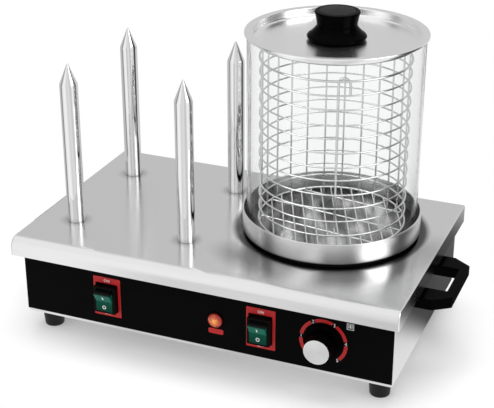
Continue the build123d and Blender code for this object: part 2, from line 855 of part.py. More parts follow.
clip_inside = bulb_radius + shaft_gap
clip_outside = clip_inside + bulb_clip_sheet
with BuildPart() as bulb_clip:
    with BuildSketch(Plane.YZ.offset(pan_x - bulb_clip_width / 2)):
        with Locations((bulb_y, bulb_z)):
            Circle(clip_outside)
        with Locations((bulb_y, bulb_z + bulb_radius / 2)):
            Rectangle(2 * clip_outside, bulb_radius)
        with Locations((bulb_y - clip_outside, plate_under_z - bulb_clip_sheet / 2)):
            Rectangle(2 * bulb_clip_foot, bulb_clip_sheet)
        with Locations((bulb_y, bulb_z)):
            Circle(clip_inside, mode=Mode.SUBTRACT)
        with Locations((bulb_y, bulb_z + bulb_radius / 2)):
            Rectangle(2 * clip_inside, bulb_radius, mode=Mode.SUBTRACT)
        with Locations((bulb_y, plate_under_z + bulb_radius)):
            Rectangle(4 * clip_outside, 2 * bulb_radius, mode=Mode.SUBTRACT)
    extrude(amount=bulb_clip_width)
bulb_clip.part.label = "bulb_clip"
export_step(bulb_clip.part, "parts/bulb_clip.step")

# Dial: black skirted knob with a silver face
with BuildPart() as dial_knob:
    with BuildSketch(Plane(origin=(dial_x, panel_y, control_z), x_dir=(1, 0, 0), z_dir=(0, 0, 1))) as profile:
        with BuildLine():
            Polyline(
                (0, -dial_gap),
                (dial_skirt_radius, -dial_gap),
                (dial_skirt_radius, -dial_gap - dial_skirt_height),
                (dial_body_radius, -dial_gap - dial_skirt_height),
                (dial_face_radius, -dial_reach + dial_cap_sheet),
                (0, -dial_reach + dial_cap_sheet),
                close=True,
            )
        make_face()
        front_corner = profile.vertices().sort_by(Axis.Y)[:2].sort_by(Axis.X)[-1]
        fillet(front_corner, dial_face_radius - dial_cap_radius)
    revolve(axis=Axis((dial_x, panel_y, control_z), (0, 1, 0)))
    skirt_rim = dial_knob.edges().filter_by(GeomType.CIRCLE).filter_by(
        lambda edge: edge.radius > dial_skirt_radius - 0.1 and edge.center().Y < panel_y - dial_gap - 1
    )
    fillet(skirt_rim, dial_skirt_edge)
    with BuildSketch(front_face.offset(dial_gap)):
        with Locations((dial_x, control_z)):
            Circle(dial_skirt_radius - dial_skirt_wall)
    extrude(amount=dial_skirt_hollow, mode=Mode.SUBTRACT)
    with BuildSketch(front_face.offset(dial_reach - dial_cap_sheet - dial_pointer_length)):
        with Locations(Location((dial_x, control_z), dial_zero_angle)):
            with Locations((dial_face_radius, 0)):
                RectangleRounded(2 * dial_pointer_reach, dial_pointer_width, dial_pointer_corner)
    extrude(amount=dial_pointer_length)
    with BuildSketch(front_face.offset(dial_gap + dial_skirt_hollow)):
        with Locations((dial_x, control_z)):
            Circle(shaft_radius + shaft_gap)
    extrude(amount=shaft_outer_reach - dial_gap - dial_skirt_hollow + screw_gap, mode=Mode.SUBTRACT)
dial_knob.part.label = "dial_knob"
export_step(dial_knob.part, "parts/dial_knob.step")

with BuildPart() as dial_cap:
    with BuildSketch(front_face.offset(dial_reach - dial_cap_sheet)):
        with Locations((dial_x, control_z)):
            Circle(dial_cap_radius)
    extrude(amount=dial_cap_sheet)
    fillet(dial_cap.edges().filter_by(GeomType.CIRCLE).sort_by(Axis.Y)[0], dial_cap_sheet / 2)
dial_cap.part.label = "dial_cap"
export_step(dial_cap.part, "parts/dial_cap.step")

# Rocker switches: moulded body with a deep bezel, and a rocker on two pins
corner_radius = hypot(rocker_corner_out, rocker_corner_up)
corner_angle = degrees(atan2(rocker_corner_up, rocker_corner_out))
back_x = corner_radius * cos(radians(rocker_back_angle))
back_y = corner_radius * sin(radians(rocker_back_angle))
cavity_half_length = corner_radius + rocker_gap
belly_reach = hypot(rocker_belly, rocker_belly)
back_reach = corner_radius * sin(radians(rocker_back_angle - 90 + rocker_half_throw))
cavity_depth = switch_bezel - rocker_pivot_out + max(belly_reach, back_reach) + rocker_gap
throw = radians(rocker_half_throw)
for switch_name, x in (("spike_switch", spike_switch_x), ("plate_switch", plate_switch_x)):
    with BuildPart() as switch_body:
        with BuildSketch(front_face):
            with Locations((x, switch_z)):
                RectangleRounded(switch_width, switch_length, switch_corner)
        extrude(amount=switch_bezel)
        fillet(switch_body.faces().sort_by(Axis.Y)[0].edges(), switch_edge)
        with BuildSketch(front_face):
            with Locations((x, switch_z)):
                Rectangle(switch_body_width, switch_body_length)
        extrude(amount=-switch_body_depth)
        with BuildSketch(front_face.offset(switch_bezel)):
            with Locations((x, switch_z)):
                Rectangle(rocker_width + 2 * rocker_gap, 2 * cavity_half_length)
        extrude(amount=-cavity_depth, mode=Mode.SUBTRACT)
        with BuildSketch(Plane.YZ.offset(x - rocker_width / 2 - rocker_pin_length - rocker_gap)):
            with Locations((panel_y - rocker_pivot_out, switch_z)):
                Circle(rocker_pin_radius + rocker_pin_gap)
        extrude(amount=rocker_width + 2 * (rocker_pin_length + rocker_gap), mode=Mode.SUBTRACT)
        with BuildSketch(front_face.offset(-switch_body_depth)):
            with Locations((x, switch_z)):
                with GridLocations(0, switch_tab_pitch, 1, 3):
                    Rectangle(switch_tab_width, switch_tab_sheet)
        extrude(amount=-switch_tab_length)
    switch_body.part.label = f"{switch_name}_body"
    export_step(switch_body.part, f"parts/{switch_name}_body.step")

    with BuildPart() as rocker:
        tilted = Plane(
            origin=(x, panel_y - rocker_pivot_out, switch_z),
            x_dir=(0, -cos(throw), -sin(throw)),
            z_dir=(-1, 0, 0),
        )
        with BuildSketch(tilted):
            with BuildLine():
                Line((rocker_corner_out, -rocker_corner_up), (rocker_dip, 0))
                Line((rocker_dip, 0), (rocker_corner_out, rocker_corner_up))
                CenterArc((0, 0), corner_radius, corner_angle, rocker_back_angle - corner_angle)
                Polyline(
                    (back_x, back_y),
                    (-rocker_belly, rocker_belly),
                    (-rocker_belly, -rocker_belly),
                    (back_x, -back_y),
                )
                CenterArc((0, 0), corner_radius, -rocker_back_angle, rocker_back_angle - corner_angle)
            make_face()
        extrude(amount=rocker_width / 2, both=True)
        with BuildSketch(Plane.YZ.offset(x)):
            with Locations((panel_y - rocker_pivot_out, switch_z)):
                Circle(rocker_pin_radius)
        extrude(amount=rocker_width / 2 + rocker_pin_length, both=True)
    rocker.part.label = f"{switch_name}_rocker"
    export_step(rocker.part, f"parts/{switch_name}_rocker.step")

# Indicator lamp: threaded body, clear lens and a nut behind the case
with BuildPart() as lamp_body:
    with BuildSketch(front_face):
        with Locations((lamp_x, control_z)):
            Circle(lamp_radius)
    extrude(amount=lamp_flange)
    with BuildSketch(front_face):
        with Locations((lamp_x, control_z)):
            Circle(lamp_body_radius)
    extrude(amount=-lamp_body_depth)
    with BuildSketch(front_face.offset(lamp_flange)):
        with Locations((lamp_x, control_z)):
            Circle(lamp_body_radius - lamp_wall)
    extrude(amount=-(lamp_flange + lamp_body_depth - lamp_wall), mode=Mode.SUBTRACT)
    with BuildSketch(front_face.offset(-lamp_body_depth)):
        with Locations((lamp_x, control_z)):
            with GridLocations(lamp_tab_pitch, 0, 2, 1):
                Rectangle(switch_tab_sheet, lamp_tab_width)
    extrude(amount=-switch_tab_length)
lamp_body.part.label = "lamp_body"
export_step(lamp_body.part, "parts/lamp_body.step")

with BuildPart() as lamp_lens:
    with BuildSketch(front_face.offset(lamp_flange)):
        with Locations((lamp_x, control_z)):
            Circle(lamp_lens_radius)
    extrude(amount=lamp_lens_height)
    fillet(lamp_lens.edges().filter_by(GeomType.CIRCLE).sort_by(Axis.Y)[0], lamp_lens_height * 0.7)
    with BuildSketch(front_face.offset(lamp_flange)):
        with Locations((lamp_x, control_z)):
            Circle(lamp_body_radius - lamp_wall - screw_gap)
    extrude(amount=-lamp_lens_height)
lamp_lens.part.label = "lamp_lens"
export_step(lamp_lens.part, "parts/lamp_lens.step")

with BuildPart() as lamp_nut:
    with BuildSketch(front_face.offset(-(case_inside_y - panel_y))):
        with Locations((lamp_x, control_z)):
            RegularPolygon(lamp_nut_radius, 6)
            Circle(lamp_body_radius + shaft_gap, mode=Mode.SUBTRACT)
    extrude(amount=-lamp_nut_height)
lamp_nut.part.label = "lamp_nut"
export_step(lamp_nut.part, "parts/lamp_nut.step")

# Cable gland low on the back wall, with an open bore
with BuildPart() as cable_gland:
    with BuildSketch(back_face):
        with Locations((-gland_x, gland_height)):
            RegularPolygon(gland_hex_width / 2, 6, major_radius=False)
    extrude(amount=gland_hex_height)
    with BuildSketch(back_face.offset(gland_hex_height)):
        with Locations((-gland_x, gland_height)):
            Circle(gland_dome_radius)
    extrude(amount=gland_reach - gland_hex_height)
    fillet(cable_gland.edges().filter_by(GeomType.CIRCLE).sort_by(Axis.Y)[-1], gland_dome_edge)
    with BuildSketch(back_face):
        with Locations((-gland_x, gland_height)):
            Circle(gland_thread_radius)
    extrude(amount=-gland_thread_length)
    with BuildSketch(back_face.offset(gland_reach)):
        with Locations((-gland_x, gland_height)):
            Circle(gland_bore_radius)
    extrude(amount=-(gland_reach + gland_thread_length), mode=Mode.SUBTRACT)
cable_gland.part.label = "cable_gland"
export_step(cable_gland.part, "parts/cable_gland.step")

gland_nut_seat = Plane(
    origin=(gland_x, case_back_y - case_sheet, gland_height), x_dir=(1, 0, 0), z_dir=(0, -1, 0)
)
with BuildPart() as gland_nut:
    add(hex_nut(gland_nut_seat, gland_nut_width, gland_nut_height, gland_thread_radius + shaft_gap))
gland_nut.part.label = "gland_nut"
export_step(gland_nut.part, "parts/gland_nut.step")

# Terminal block on the base, near the gland
terminal_y = case_back_y - terminal_from_back
with BuildPart() as terminal_block:
    with BuildSketch(level(case_bottom_z)):
        with Locations((gland_x, terminal_y)):
            Rectangle(terminal_length, terminal_width)
    extrude(amount=terminal_height - terminal_step)
    with BuildSketch(level(case_bottom_z + terminal_height - terminal_step)):
        with Locations((gland_x, terminal_y)):
            Rectangle(terminal_length, terminal_width / 2)
    extrude(amount=terminal_step)
    with BuildSketch(level(case_bottom_z + terminal_height)):
        with Locations((gland_x, terminal_y)):
            with GridLocations(terminal_pole_pitch, 0, terminal_pole_count, 1):
                Circle(terminal_pole_radius)
    extrude(amount=-terminal_height / 2, mode=Mode.SUBTRACT)
terminal_block.part.label = "terminal_block"
export_step(terminal_block.part, "parts/terminal_block.step")

# Steamer pan: a shallow round dish that stands on the hot plate
with BuildPart() as water_pan:
    with BuildSketch(upright_section(pan_x, pan_y)) as profile:
        with BuildLine():
            Polyline(
                (0, plate_top_z),
                (pan_radius, plate_top_z),
                (pan_radius, plate_top_z + pan_height),
                (pan_radius - pan_sheet, plate_top_z + pan_height),
                (pan_radius - pan_sheet, pan_floor_z),
                (0, pan_floor_z),
                close=True,
            )
        make_face()
        fillet(profile.vertices().group_by(Axis.Y)[0].sort_by(Axis.X)[-1], pan_corner_radius)
        inner = profile.vertices().filter_by_position(Axis.Y, pan_floor_z - 0.01, pan_floor_z + 0.01)
        fillet(inner.sort_by(Axis.X)[-1], pan_corner_radius - pan_sheet)
        with Locations((pan_radius - pan_rim_radius, plate_top_z + pan_height)):
            Circle(pan_rim_radius)
    revolve(axis=Axis((pan_x, pan_y, 0), (0, 0, 1)))
water_pan.part.label = "water_pan"
export_step(water_pan.part, "parts/water_pan.step")

# Glass: a plain cylinder that stands in the pan, open at both ends
with BuildPart() as glass_cylinder:
    with BuildSketch(level(pan_floor_z)):
        with Locations((pan_x, pan_y)):
            Circle(glass_radius)
            Circle(glass_bore, mode=Mode.SUBTRACT)
    extrude(amount=glass_top_z - pan_floor_z)
    fillet(glass_cylinder.edges().filter_by(GeomType.CIRCLE), glass_edge)
glass_cylinder.part.label = "glass_cylinder"
export_step(glass_cylinder.part, "parts/glass_cylinder.step")

# Lid: a pressed dish whose flat rim rests on the glass
lid_step_radius = lid_well_radius + lid_sheet
with BuildPart() as lid_dish:
    with BuildSketch(upright_section(pan_x, pan_y)) as profile:
        with BuildLine():
            Polyline(
                (0, lid_floor_z),
                (lid_well_radius, lid_floor_z),
                (lid_well_radius, lid_top_z),
                (lid_radius, lid_top_z),
                (lid_radius, lid_top_z - lid_hem_height),
                (lid_radius - lid_sheet, lid_top_z - lid_hem_height),
                (lid_radius - lid_sheet, glass_top_z),
                (lid_step_radius, glass_top_z),
                (lid_step_radius, lid_floor_z - lid_sheet),
                (0, lid_floor_z - lid_sheet),
                close=True,
            )
        make_face()
        fillet(profile.vertices().group_by(Axis.Y)[1].sort_by(Axis.X)[-1], lid_well_fillet)
        fillet(profile.vertices().group_by(Axis.Y)[0].sort_by(Axis.X)[-1], lid_well_fillet + lid_sheet)
        fillet(profile.vertices().group_by(Axis.Y)[-1], lid_sheet * 0.9)
    revolve(axis=Axis((pan_x, pan_y, 0), (0, 0, 1)))
    with BuildSketch(level(lid_floor_z)):
        with Locations((pan_x, pan_y)):
            Circle(knob_screw_radius + screw_gap)
    extrude(amount=-lid_sheet, mode=Mode.SUBTRACT)
lid_dish.part.label = "lid_dish"
export_step(lid_dish.part, "parts/lid_dish.step")

with BuildPart() as lid_knob:
    with BuildSketch(upright_section(pan_x, pan_y)) as profile:
        with BuildLine():
            Line((0, lid_floor_z), (knob_base_radius, lid_floor_z))
            Spline(
                (knob_base_radius, lid_floor_z),
                (knob_flare_radius, lid_floor_z + knob_flare_height),
                (knob_shoulder_radius, lid_floor_z + knob_shoulder_height),
                (knob_waist_radius, lid_floor_z + knob_waist_height),
                (knob_top_radius, lid_floor_z + knob_height),
                tangents=((1, 0.4), (0.1, 1)),
                tangent_scalars=(knob_base_pull, knob_top_pull),
            )
            Polyline(
                (knob_top_radius, lid_floor_z + knob_height),
                (0, lid_floor_z + knob_height),
                (0, lid_floor_z),
            )
        make_face()
        fillet(profile.vertices().group_by(Axis.Y)[-1].sort_by(Axis.X)[-1], knob_edge_radius)
    revolve(axis=Axis((pan_x, pan_y, 0), (0, 0, 1)))
    with BuildSketch(level(lid_floor_z)):
        with Locations((pan_x, pan_y)):
            Circle(knob_screw_radius + shaft_gap)
    extrude(amount=knob_screw_length - lid_sheet + screw_gap, mode=Mode.SUBTRACT)
lid_knob.part.label = "lid_knob"
export_step(lid_knob.part, "parts/lid_knob.step")

lid_screw_seat = Plane(origin=(pan_x, pan_y, lid_floor_z - lid_sheet), x_dir=(1, 0, 0), z_dir=(0, 0, -1))
with BuildPart() as lid_screw:
    add(
        pan_head_screw(
            lid_screw_seat,
            knob_screw_head_radius,
            knob_screw_head_height,
            knob_screw_radius,
            knob_screw_length,
        )
    )
lid_screw.part.label = "lid_screw"
export_step(lid_screw.part, "parts/lid_screw.step")

# Wire basket: closed rings on uprights that stand round the back and sides, a grid floor and a lifting rod
upright_radius = basket_radius - 2 * basket_wire + basket_weld
floor_z = pan_floor_z + basket_floor_height
top_ring_z = floor_z + (basket_ring_count - 1) * basket_ring_pitch
upright_start = basket_upright_middle - (basket_upright_count - 1) * basket_upright_pitch / 2
with BuildPart() as basket_uprights:
    with BuildSketch(level(pan_floor_z)):
        with Locations((pan_x, pan_y)):
            for number in range(basket_upright_count):
                angle = radians(upright_start + number * basket_upright_pitch)
                with Locations((upright_radius * cos(angle), upright_radius * sin(angle))):
                    Circle(basket_wire)
    extrude(amount=top_ring_z - pan_floor_z)
basket_uprights.part.label = "basket_uprights"
export_step(basket_uprights.part, "parts/basket_uprights.step")

with BuildPart() as basket_rings:
    for ring in range(1, basket_ring_count - 1):
        with BuildSketch(upright_section(pan_x, pan_y)):
            with Locations((basket_radius, floor_z + ring * basket_ring_pitch)):
                Circle(basket_wire)
        revolve(axis=Axis((pan_x, pan_y, 0), (0, 0, 1)))
basket_rings.part.label = "basket_rings"
export_step(basket_rings.part, "parts/basket_rings.step")

rim_radius = basket_radius + basket_rim_wire - basket_wire
with BuildPart() as basket_rims:
    for ring_z in (floor_z, top_ring_z):
        with BuildSketch(upright_section(pan_x, pan_y)):
            with Locations((rim_radius, ring_z)):
                Circle(basket_rim_wire)
        revolve(axis=Axis((pan_x, pan_y, 0), (0, 0, 1)))
basket_rims.part.label = "basket_rims"
export_step(basket_rims.part, "parts/basket_rims.step")

# Floor grid: parallel wires over a few slanting cross wires, welded to the bottom rim
wire_reach = rim_radius - basket_rim_wire
brace_z = floor_z - 2 * basket_wire + basket_weld
front_brace_shift = (basket_cross_wires - 1) / 2 * basket_cross_pitch - basket_cross_shift


def straight_wire(turn, offset, height):
    """Start plane and length of a wire across the basket, turned from +Y and set off from the middle."""
    half_length = sqrt(wire_reach**2 - offset**2) + basket_weld
    across_x = cos(radians(turn))
    across_y = sin(radians(turn))
    start_x = pan_x + offset * across_x + half_length * across_y
    start_y = pan_y + offset * across_y - half_length * across_x
    start = Plane(origin=(start_x, start_y, height), x_dir=(0, 0, 1), z_dir=(-across_y, across_x, 0))
    return start, 2 * half_length


with BuildPart() as basket_floor:
    for number in range(basket_floor_wires):
        offset = (number - (basket_floor_wires - 1) / 2) * basket_floor_pitch + basket_floor_shift
        wire_start, wire_length = straight_wire(basket_floor_turn, offset, floor_z)
        with BuildSketch(wire_start):
            Circle(basket_wire)
        extrude(amount=wire_length)
basket_floor.part.label = "basket_floor"
export_step(basket_floor.part, "parts/basket_floor.step")

with BuildPart() as basket_braces:
    for number in range(basket_cross_wires):
        offset = front_brace_shift - number * basket_cross_pitch
        wire_start, wire_length = straight_wire(basket_cross_turn - 90, offset, brace_z)
        with BuildSketch(wire_start):
            Circle(basket_wire)
        extrude(amount=wire_length)
basket_braces.part.label = "basket_braces"
export_step(basket_braces.part, "parts/basket_braces.step")

# Lifting rod: straight up from the front cross wire between two floor wires, turned over in a hook at the top
cross_turn = radians(basket_cross_turn)
rod_x = pan_x + front_brace_shift * sin(cross_turn) + lifter_along * cos(cross_turn)
rod_y = pan_y - front_brace_shift * cos(cross_turn) + lifter_along * sin(cross_turn)
rod_bottom_z = brace_z + basket_wire - basket_weld
hook_z = pan_floor_z + lifter_height - lifter_hook_radius
tail_x = rod_x + 2 * lifter_hook_radius
with BuildPart() as basket_lifter:
    with BuildLine() as rod_path:
        Line((rod_x, rod_y, rod_bottom_z), (rod_x, rod_y, hook_z))
        ThreePointArc(
            (rod_x, rod_y, hook_z),
            (rod_x + lifter_hook_radius, rod_y, hook_z + lifter_hook_radius),
            (tail_x, rod_y, hook_z),
        )
        Line((tail_x, rod_y, hook_z), (tail_x, rod_y, hook_z - lifter_hook_tail))
    with BuildSketch(rod_path.wires()[0] ^ 0):
        Circle(lifter_wire)
    sweep(transition=Transition.ROUND)
basket_lifter.part.label = "basket_lifter"
export_step(basket_lifter.part, "parts/basket_lifter.step")
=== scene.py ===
"""Looks of a hot dog spike machine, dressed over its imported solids.

Sizes and places of pieces are millimetres, in the part's own frame: +Z up from the floor,
+X to the right of the control panel, +Y to the back. Materials, lamps and meshes use metres.
"""

import logging
from abc import ABC, abstractmethod
from collections.abc import Sequence
from dataclasses import dataclass
from enum import Enum
from functools import cache
from math import atan2, cos, pi, radians, sin, sqrt

import bmesh
import bpy
import numpy as np
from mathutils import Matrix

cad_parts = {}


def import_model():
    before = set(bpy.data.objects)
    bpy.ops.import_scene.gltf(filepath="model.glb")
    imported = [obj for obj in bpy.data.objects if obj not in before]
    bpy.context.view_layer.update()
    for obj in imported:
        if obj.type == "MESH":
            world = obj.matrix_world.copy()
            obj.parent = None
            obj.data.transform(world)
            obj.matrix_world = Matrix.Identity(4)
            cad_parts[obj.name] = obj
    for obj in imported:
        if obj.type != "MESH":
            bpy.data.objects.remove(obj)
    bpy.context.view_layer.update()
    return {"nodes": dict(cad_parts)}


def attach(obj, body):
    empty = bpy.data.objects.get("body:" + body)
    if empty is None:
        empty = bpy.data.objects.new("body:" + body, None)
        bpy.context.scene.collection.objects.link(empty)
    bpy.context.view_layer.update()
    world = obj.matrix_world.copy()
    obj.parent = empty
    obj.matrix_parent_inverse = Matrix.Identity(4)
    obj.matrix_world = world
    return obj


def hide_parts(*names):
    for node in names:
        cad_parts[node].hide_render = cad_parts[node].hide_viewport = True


LOG = logging.getLogger("spike_machine")
MM = 0.001

# Kinds of value
Colour = tuple[float, float, float]
Point = tuple[float, float, float]
Spot = tuple[float, float]
Stops = tuple[tuple[float, float | Colour], ...]
Socket = bpy.types.NodeSocket

# Places that several sub-assemblies share
PANEL_Y = -132.75
DECK_Z = 130.0
PAN_X = 104.0
PAN_Y = 25.25
PAN_AXIS = (PAN_X * MM, PAN_Y * MM, 0.0)
PAN_FLOOR_Z = 134.0
DIAL_X = 150.6
LAMP_X = 20.0
CONTROL_Z = 67.3
SPIKE_COLUMNS = {"left": -191.5, "right": -43.5}
SPIKE_ROWS = {"front": -72.2, "rear": 81.3}
CAMERA_AZIMUTH = 22.243

# How finely and sharply shapes are made
SHARP_EDGE = 40.0
WELD_REACH = 1e-7
CORNER_STEPS = 8
SMALL_CORNER_STEPS = 5
TINY_CORNER_STEPS = 4
CURVE_STEPS = 8
LETTER_SCALE = 1.4
LETTER_STEPS = 3


class Grain(Enum):
    """The way a brushed or spun surface was worked."""

    ALONG_X = "along the width"
    ALONG_Y = "along the depth"
    ALONG_Z = "up and down"
    ROUND_Z = "round an upright axis"
    ROUND_Y = "round an axis from front to back"


class Graph:
    """A material's or a world's node tree, with short ways to add nodes and join them."""

    def __init__(self, name: str, world: bool = False) -> None:
        """Start an empty material or world.

        Args:
            name: its name.
            world: whether it is a world.
        """
        self.owner = (bpy.data.worlds if world else bpy.data.materials).new(name)
        self.owner.use_nodes = True
        self.tree = self.owner.node_tree
        self.tree.nodes.clear()
        self.out = self.tree.nodes.new("ShaderNodeOutputWorld" if world else "ShaderNodeOutputMaterial")

    def add(self, kind: str, **settings: object) -> bpy.types.Node:
        """Add one node and set its properties.

        Args:
            kind: the node's type, without the ShaderNode prefix.
            settings: properties of the node, by name.

        Returns:
            The new node.
        """
        node = self.tree.nodes.new("ShaderNode" + kind)
        for key, value in settings.items():
            setattr(node, key, value)
        return node

    def join(self, source: object, target: Socket) -> None:
        """Link an output to an input, or write a plain value into the input.

        Args:
            source: an output socket, a number or a tuple.
            target: the input socket.
        """
        if isinstance(source, Socket):
            self.tree.links.new(source, target)
        else:
            target.default_value = source

    def math(self, operation: str, a: object, b: object = 0.0, clamp: bool = False) -> Socket:
        """A Math node of two values.

        Args:
            operation: the node's operation.
            a: first value or socket.
            b: second value or socket.
            clamp: whether the result is kept from 0 to 1.

        Returns:
            The result's socket.
        """
        node = self.add("Math", operation=operation, use_clamp=clamp)
        self.join(a, node.inputs[0])
        self.join(b, node.inputs[1])
        return node.outputs[0]

    def place(self, scale: Point = (1, 1, 1), centre: Point = (0, 0, 0)) -> Socket:
        """Object coordinates, moved to a centre and stretched.

        Args:
            scale: stretch along each axis.
            centre: the point in metres that becomes the middle.

        Returns:
            The vector's socket.
        """
        coordinates = self.add("TexCoord")
        mapping = self.add("Mapping")
        shift = tuple(-c * s for c, s in zip(centre, scale))
        mapping.inputs["Location"].default_value = shift
        mapping.inputs["Scale"].default_value = scale
        self.join(coordinates.outputs["Object"], mapping.inputs["Vector"])
        return mapping.outputs["Vector"]

    def noise(self, vector: Socket, scale: float, detail: float = 2.0, roughness: float = 0.5) -> Socket:
        """Smooth noise from 0 to 1.

        Args:
            vector: where it is read.
            scale: how many swells in a metre.
            detail: how many finer layers.
            roughness: how strong these are.

        Returns:
            The value's socket.
        """
        node = self.add("TexNoise")
        self.join(vector, node.inputs["Vector"])
        node.inputs["Scale"].default_value = scale
        node.inputs["Detail"].default_value = detail
        node.inputs["Roughness"].default_value = roughness
        return node.outputs[0]

    def spread(self, value: Socket, low: float, high: float) -> Socket:
        """Stretch a value from 0 to 1 over a new range.

        Args:
            value: the value's socket.
            low: what 0 becomes.
            high: what 1 becomes.

        Returns:
            The new value's socket.
        """
        return self.math("ADD", self.math("MULTIPLY", value, high - low), low)

    def ramp(self, value: Socket, stops: Stops, smooth: bool = False) -> Socket:
        """A colour ramp.

        Args:
            value: where it is read, from 0 to 1.
            stops: places and colours, where a plain number is a grey.
            smooth: whether the colours ease into each other.

        Returns:
            The colour's socket.
        """
        node = self.add("ValToRGB")
        ramp = node.color_ramp
        ramp.interpolation = "EASE" if smooth else "LINEAR"
        ramp.elements.remove(ramp.elements[-1])
        colours = [(*(shade if isinstance(shade, tuple) else grey(shade)), 1.0) for _, shade in stops]
        ramp.elements[0].position = stops[0][0]
        ramp.elements[0].color = colours[0]
        for (place, _), colour in zip(stops[1:], colours[1:]):
            ramp.elements.new(place).color = colour
        self.join(value, node.inputs[0])
        return node.outputs[0]

    def bump(self, height: Socket, depth: float) -> Socket:
        """A bump from a height of 0 to 1.

        Args:
            height: the height's socket.
            depth: how deep it is, in metres.

        Returns:
            The normal's socket.
        """
        node = self.add("Bump")
        node.inputs["Strength"].default_value = 1.0
        node.inputs["Distance"].default_value = depth
        self.join(height, node.inputs["Height"])
        return node.outputs[0]

    def tint(self, value: Socket, low: object, high: object) -> Socket:
        """A colour between two, by a value from 0 to 1.

        Args:
            value: the value's socket.
            low: the colour at 0, or its socket.
            high: the colour at 1, or its socket.

        Returns:
            The colour's socket.
        """
        node = self.add("Mix", data_type="RGBA")
        self.join(value, node.inputs[0])
        for colour, target in ((low, node.inputs[6]), (high, node.inputs[7])):
            self.join(colour if isinstance(colour, Socket) else (*colour, 1.0), target)
        return node.outputs[2]

    def either(self, share: Socket, first: Socket, second: Socket) -> Socket:
        """The first shader where the share is 0 and the second where it is 1.

        Args:
            share: the share's socket.
            first: a shader's socket.
            second: another's.

        Returns:
            The mixed shader's socket.
        """
        node = self.add("MixShader")
        self.join(share, node.inputs[0])
        self.join(first, node.inputs[1])
        self.join(second, node.inputs[2])
        return node.outputs[0]

    def bearing(self, vector: Socket, azimuth: float) -> Socket:
        """Which way a point or direction lies, seen from above.

        Args:
            vector: its socket.
            azimuth: the camera's, in degrees.

        Returns:
            A value that is 0.5 towards the camera, 0.75 to its right, 0.25 to its left and 0 or 1 behind.
        """
        a = radians(azimuth)
        sides = []
        for axis in ((cos(a), sin(a), 0.0), (sin(a), -cos(a), 0.0)):
            node = self.add("VectorMath", operation="DOT_PRODUCT")
            self.join(vector, node.inputs[0])
            node.inputs[1].default_value = axis
            sides.append(node.outputs["Value"])
        turn = self.math("ARCTAN2", sides[0], sides[1])
        return self.math("ADD", self.math("DIVIDE", turn, 2 * pi), 0.5)

    def weighed(self, first: Socket, second: Socket, share: float) -> Socket:
        """A mean of two values.

        Args:
            first: one value's socket.
            second: the other's.
            share: the weight of the first, from 0 to 1.

        Returns:
            The mean's socket.
        """
        return self.math("ADD", self.math("MULTIPLY", first, share), self.math("MULTIPLY", second, 1 - share))

    def parts(self, vector: Socket) -> tuple[Socket, ...]:
        """The three parts of a vector.

        Args:
            vector: its socket.

        Returns:
            The sockets of its X, Y and Z.
        """
        node = self.add("SeparateXYZ")
        self.join(vector, node.inputs[0])
        return tuple(node.outputs)

    def vector(self, *parts: object) -> Socket:
        """A vector from its three parts.

        Args:
            parts: X, Y and Z, as sockets or numbers.

        Returns:
            The vector's socket.
        """
        node = self.add("CombineXYZ")
        for part, target in zip(parts, node.inputs):
            self.join(part, target)
        return node.outputs[0]

    def length(self, vector: Socket) -> Socket:
        """How long a vector is.

        Args:
            vector: its socket.

        Returns:
            The length's socket.
        """
        node = self.add("VectorMath", operation="LENGTH")
        self.join(vector, node.inputs[0])
        return node.outputs["Value"]

    def unit(self, vector: Socket) -> Socket:
        """A vector made one metre long.

        Args:
            vector: its socket.

        Returns:
            The new vector's socket.
        """
        node = self.add("VectorMath", operation="NORMALIZE")
        self.join(vector, node.inputs[0])
        return node.outputs[0]

    def principled(self, **inputs: object) -> bpy.types.Node:
        """The surface shader, joined to the output.

        Args:
            inputs: its sockets by name, with _ for a space.

        Returns:
            The shader node.
        """
        node = self.add("BsdfPrincipled")
        for key, value in inputs.items():
            self.join(value, node.inputs[key.replace("_", " ")])
        self.join(node.outputs[0], self.out.inputs["Surface"])
        return node


def grey(value: float) -> Colour:
    """A neutral colour.

    Args:
        value: its lightness.

    Returns:
        The colour.
    """
    return (value, value, value)


def scaled(colour: Colour, share: float) -> Colour:
    """A colour made lighter or darker.

    Args:
        colour: the colour.
        share: what each of its channels is multiplied by, up to full.

    Returns:
        The new colour.
    """
    return tuple(min(1.0, channel * share) for channel in colour)


class Finish(ABC):
    """A named surface that makes its own material."""

    name: str

    @abstractmethod
    def material(self) -> bpy.types.Material:
        """Build the material.

        Returns:
            The new material.
        """


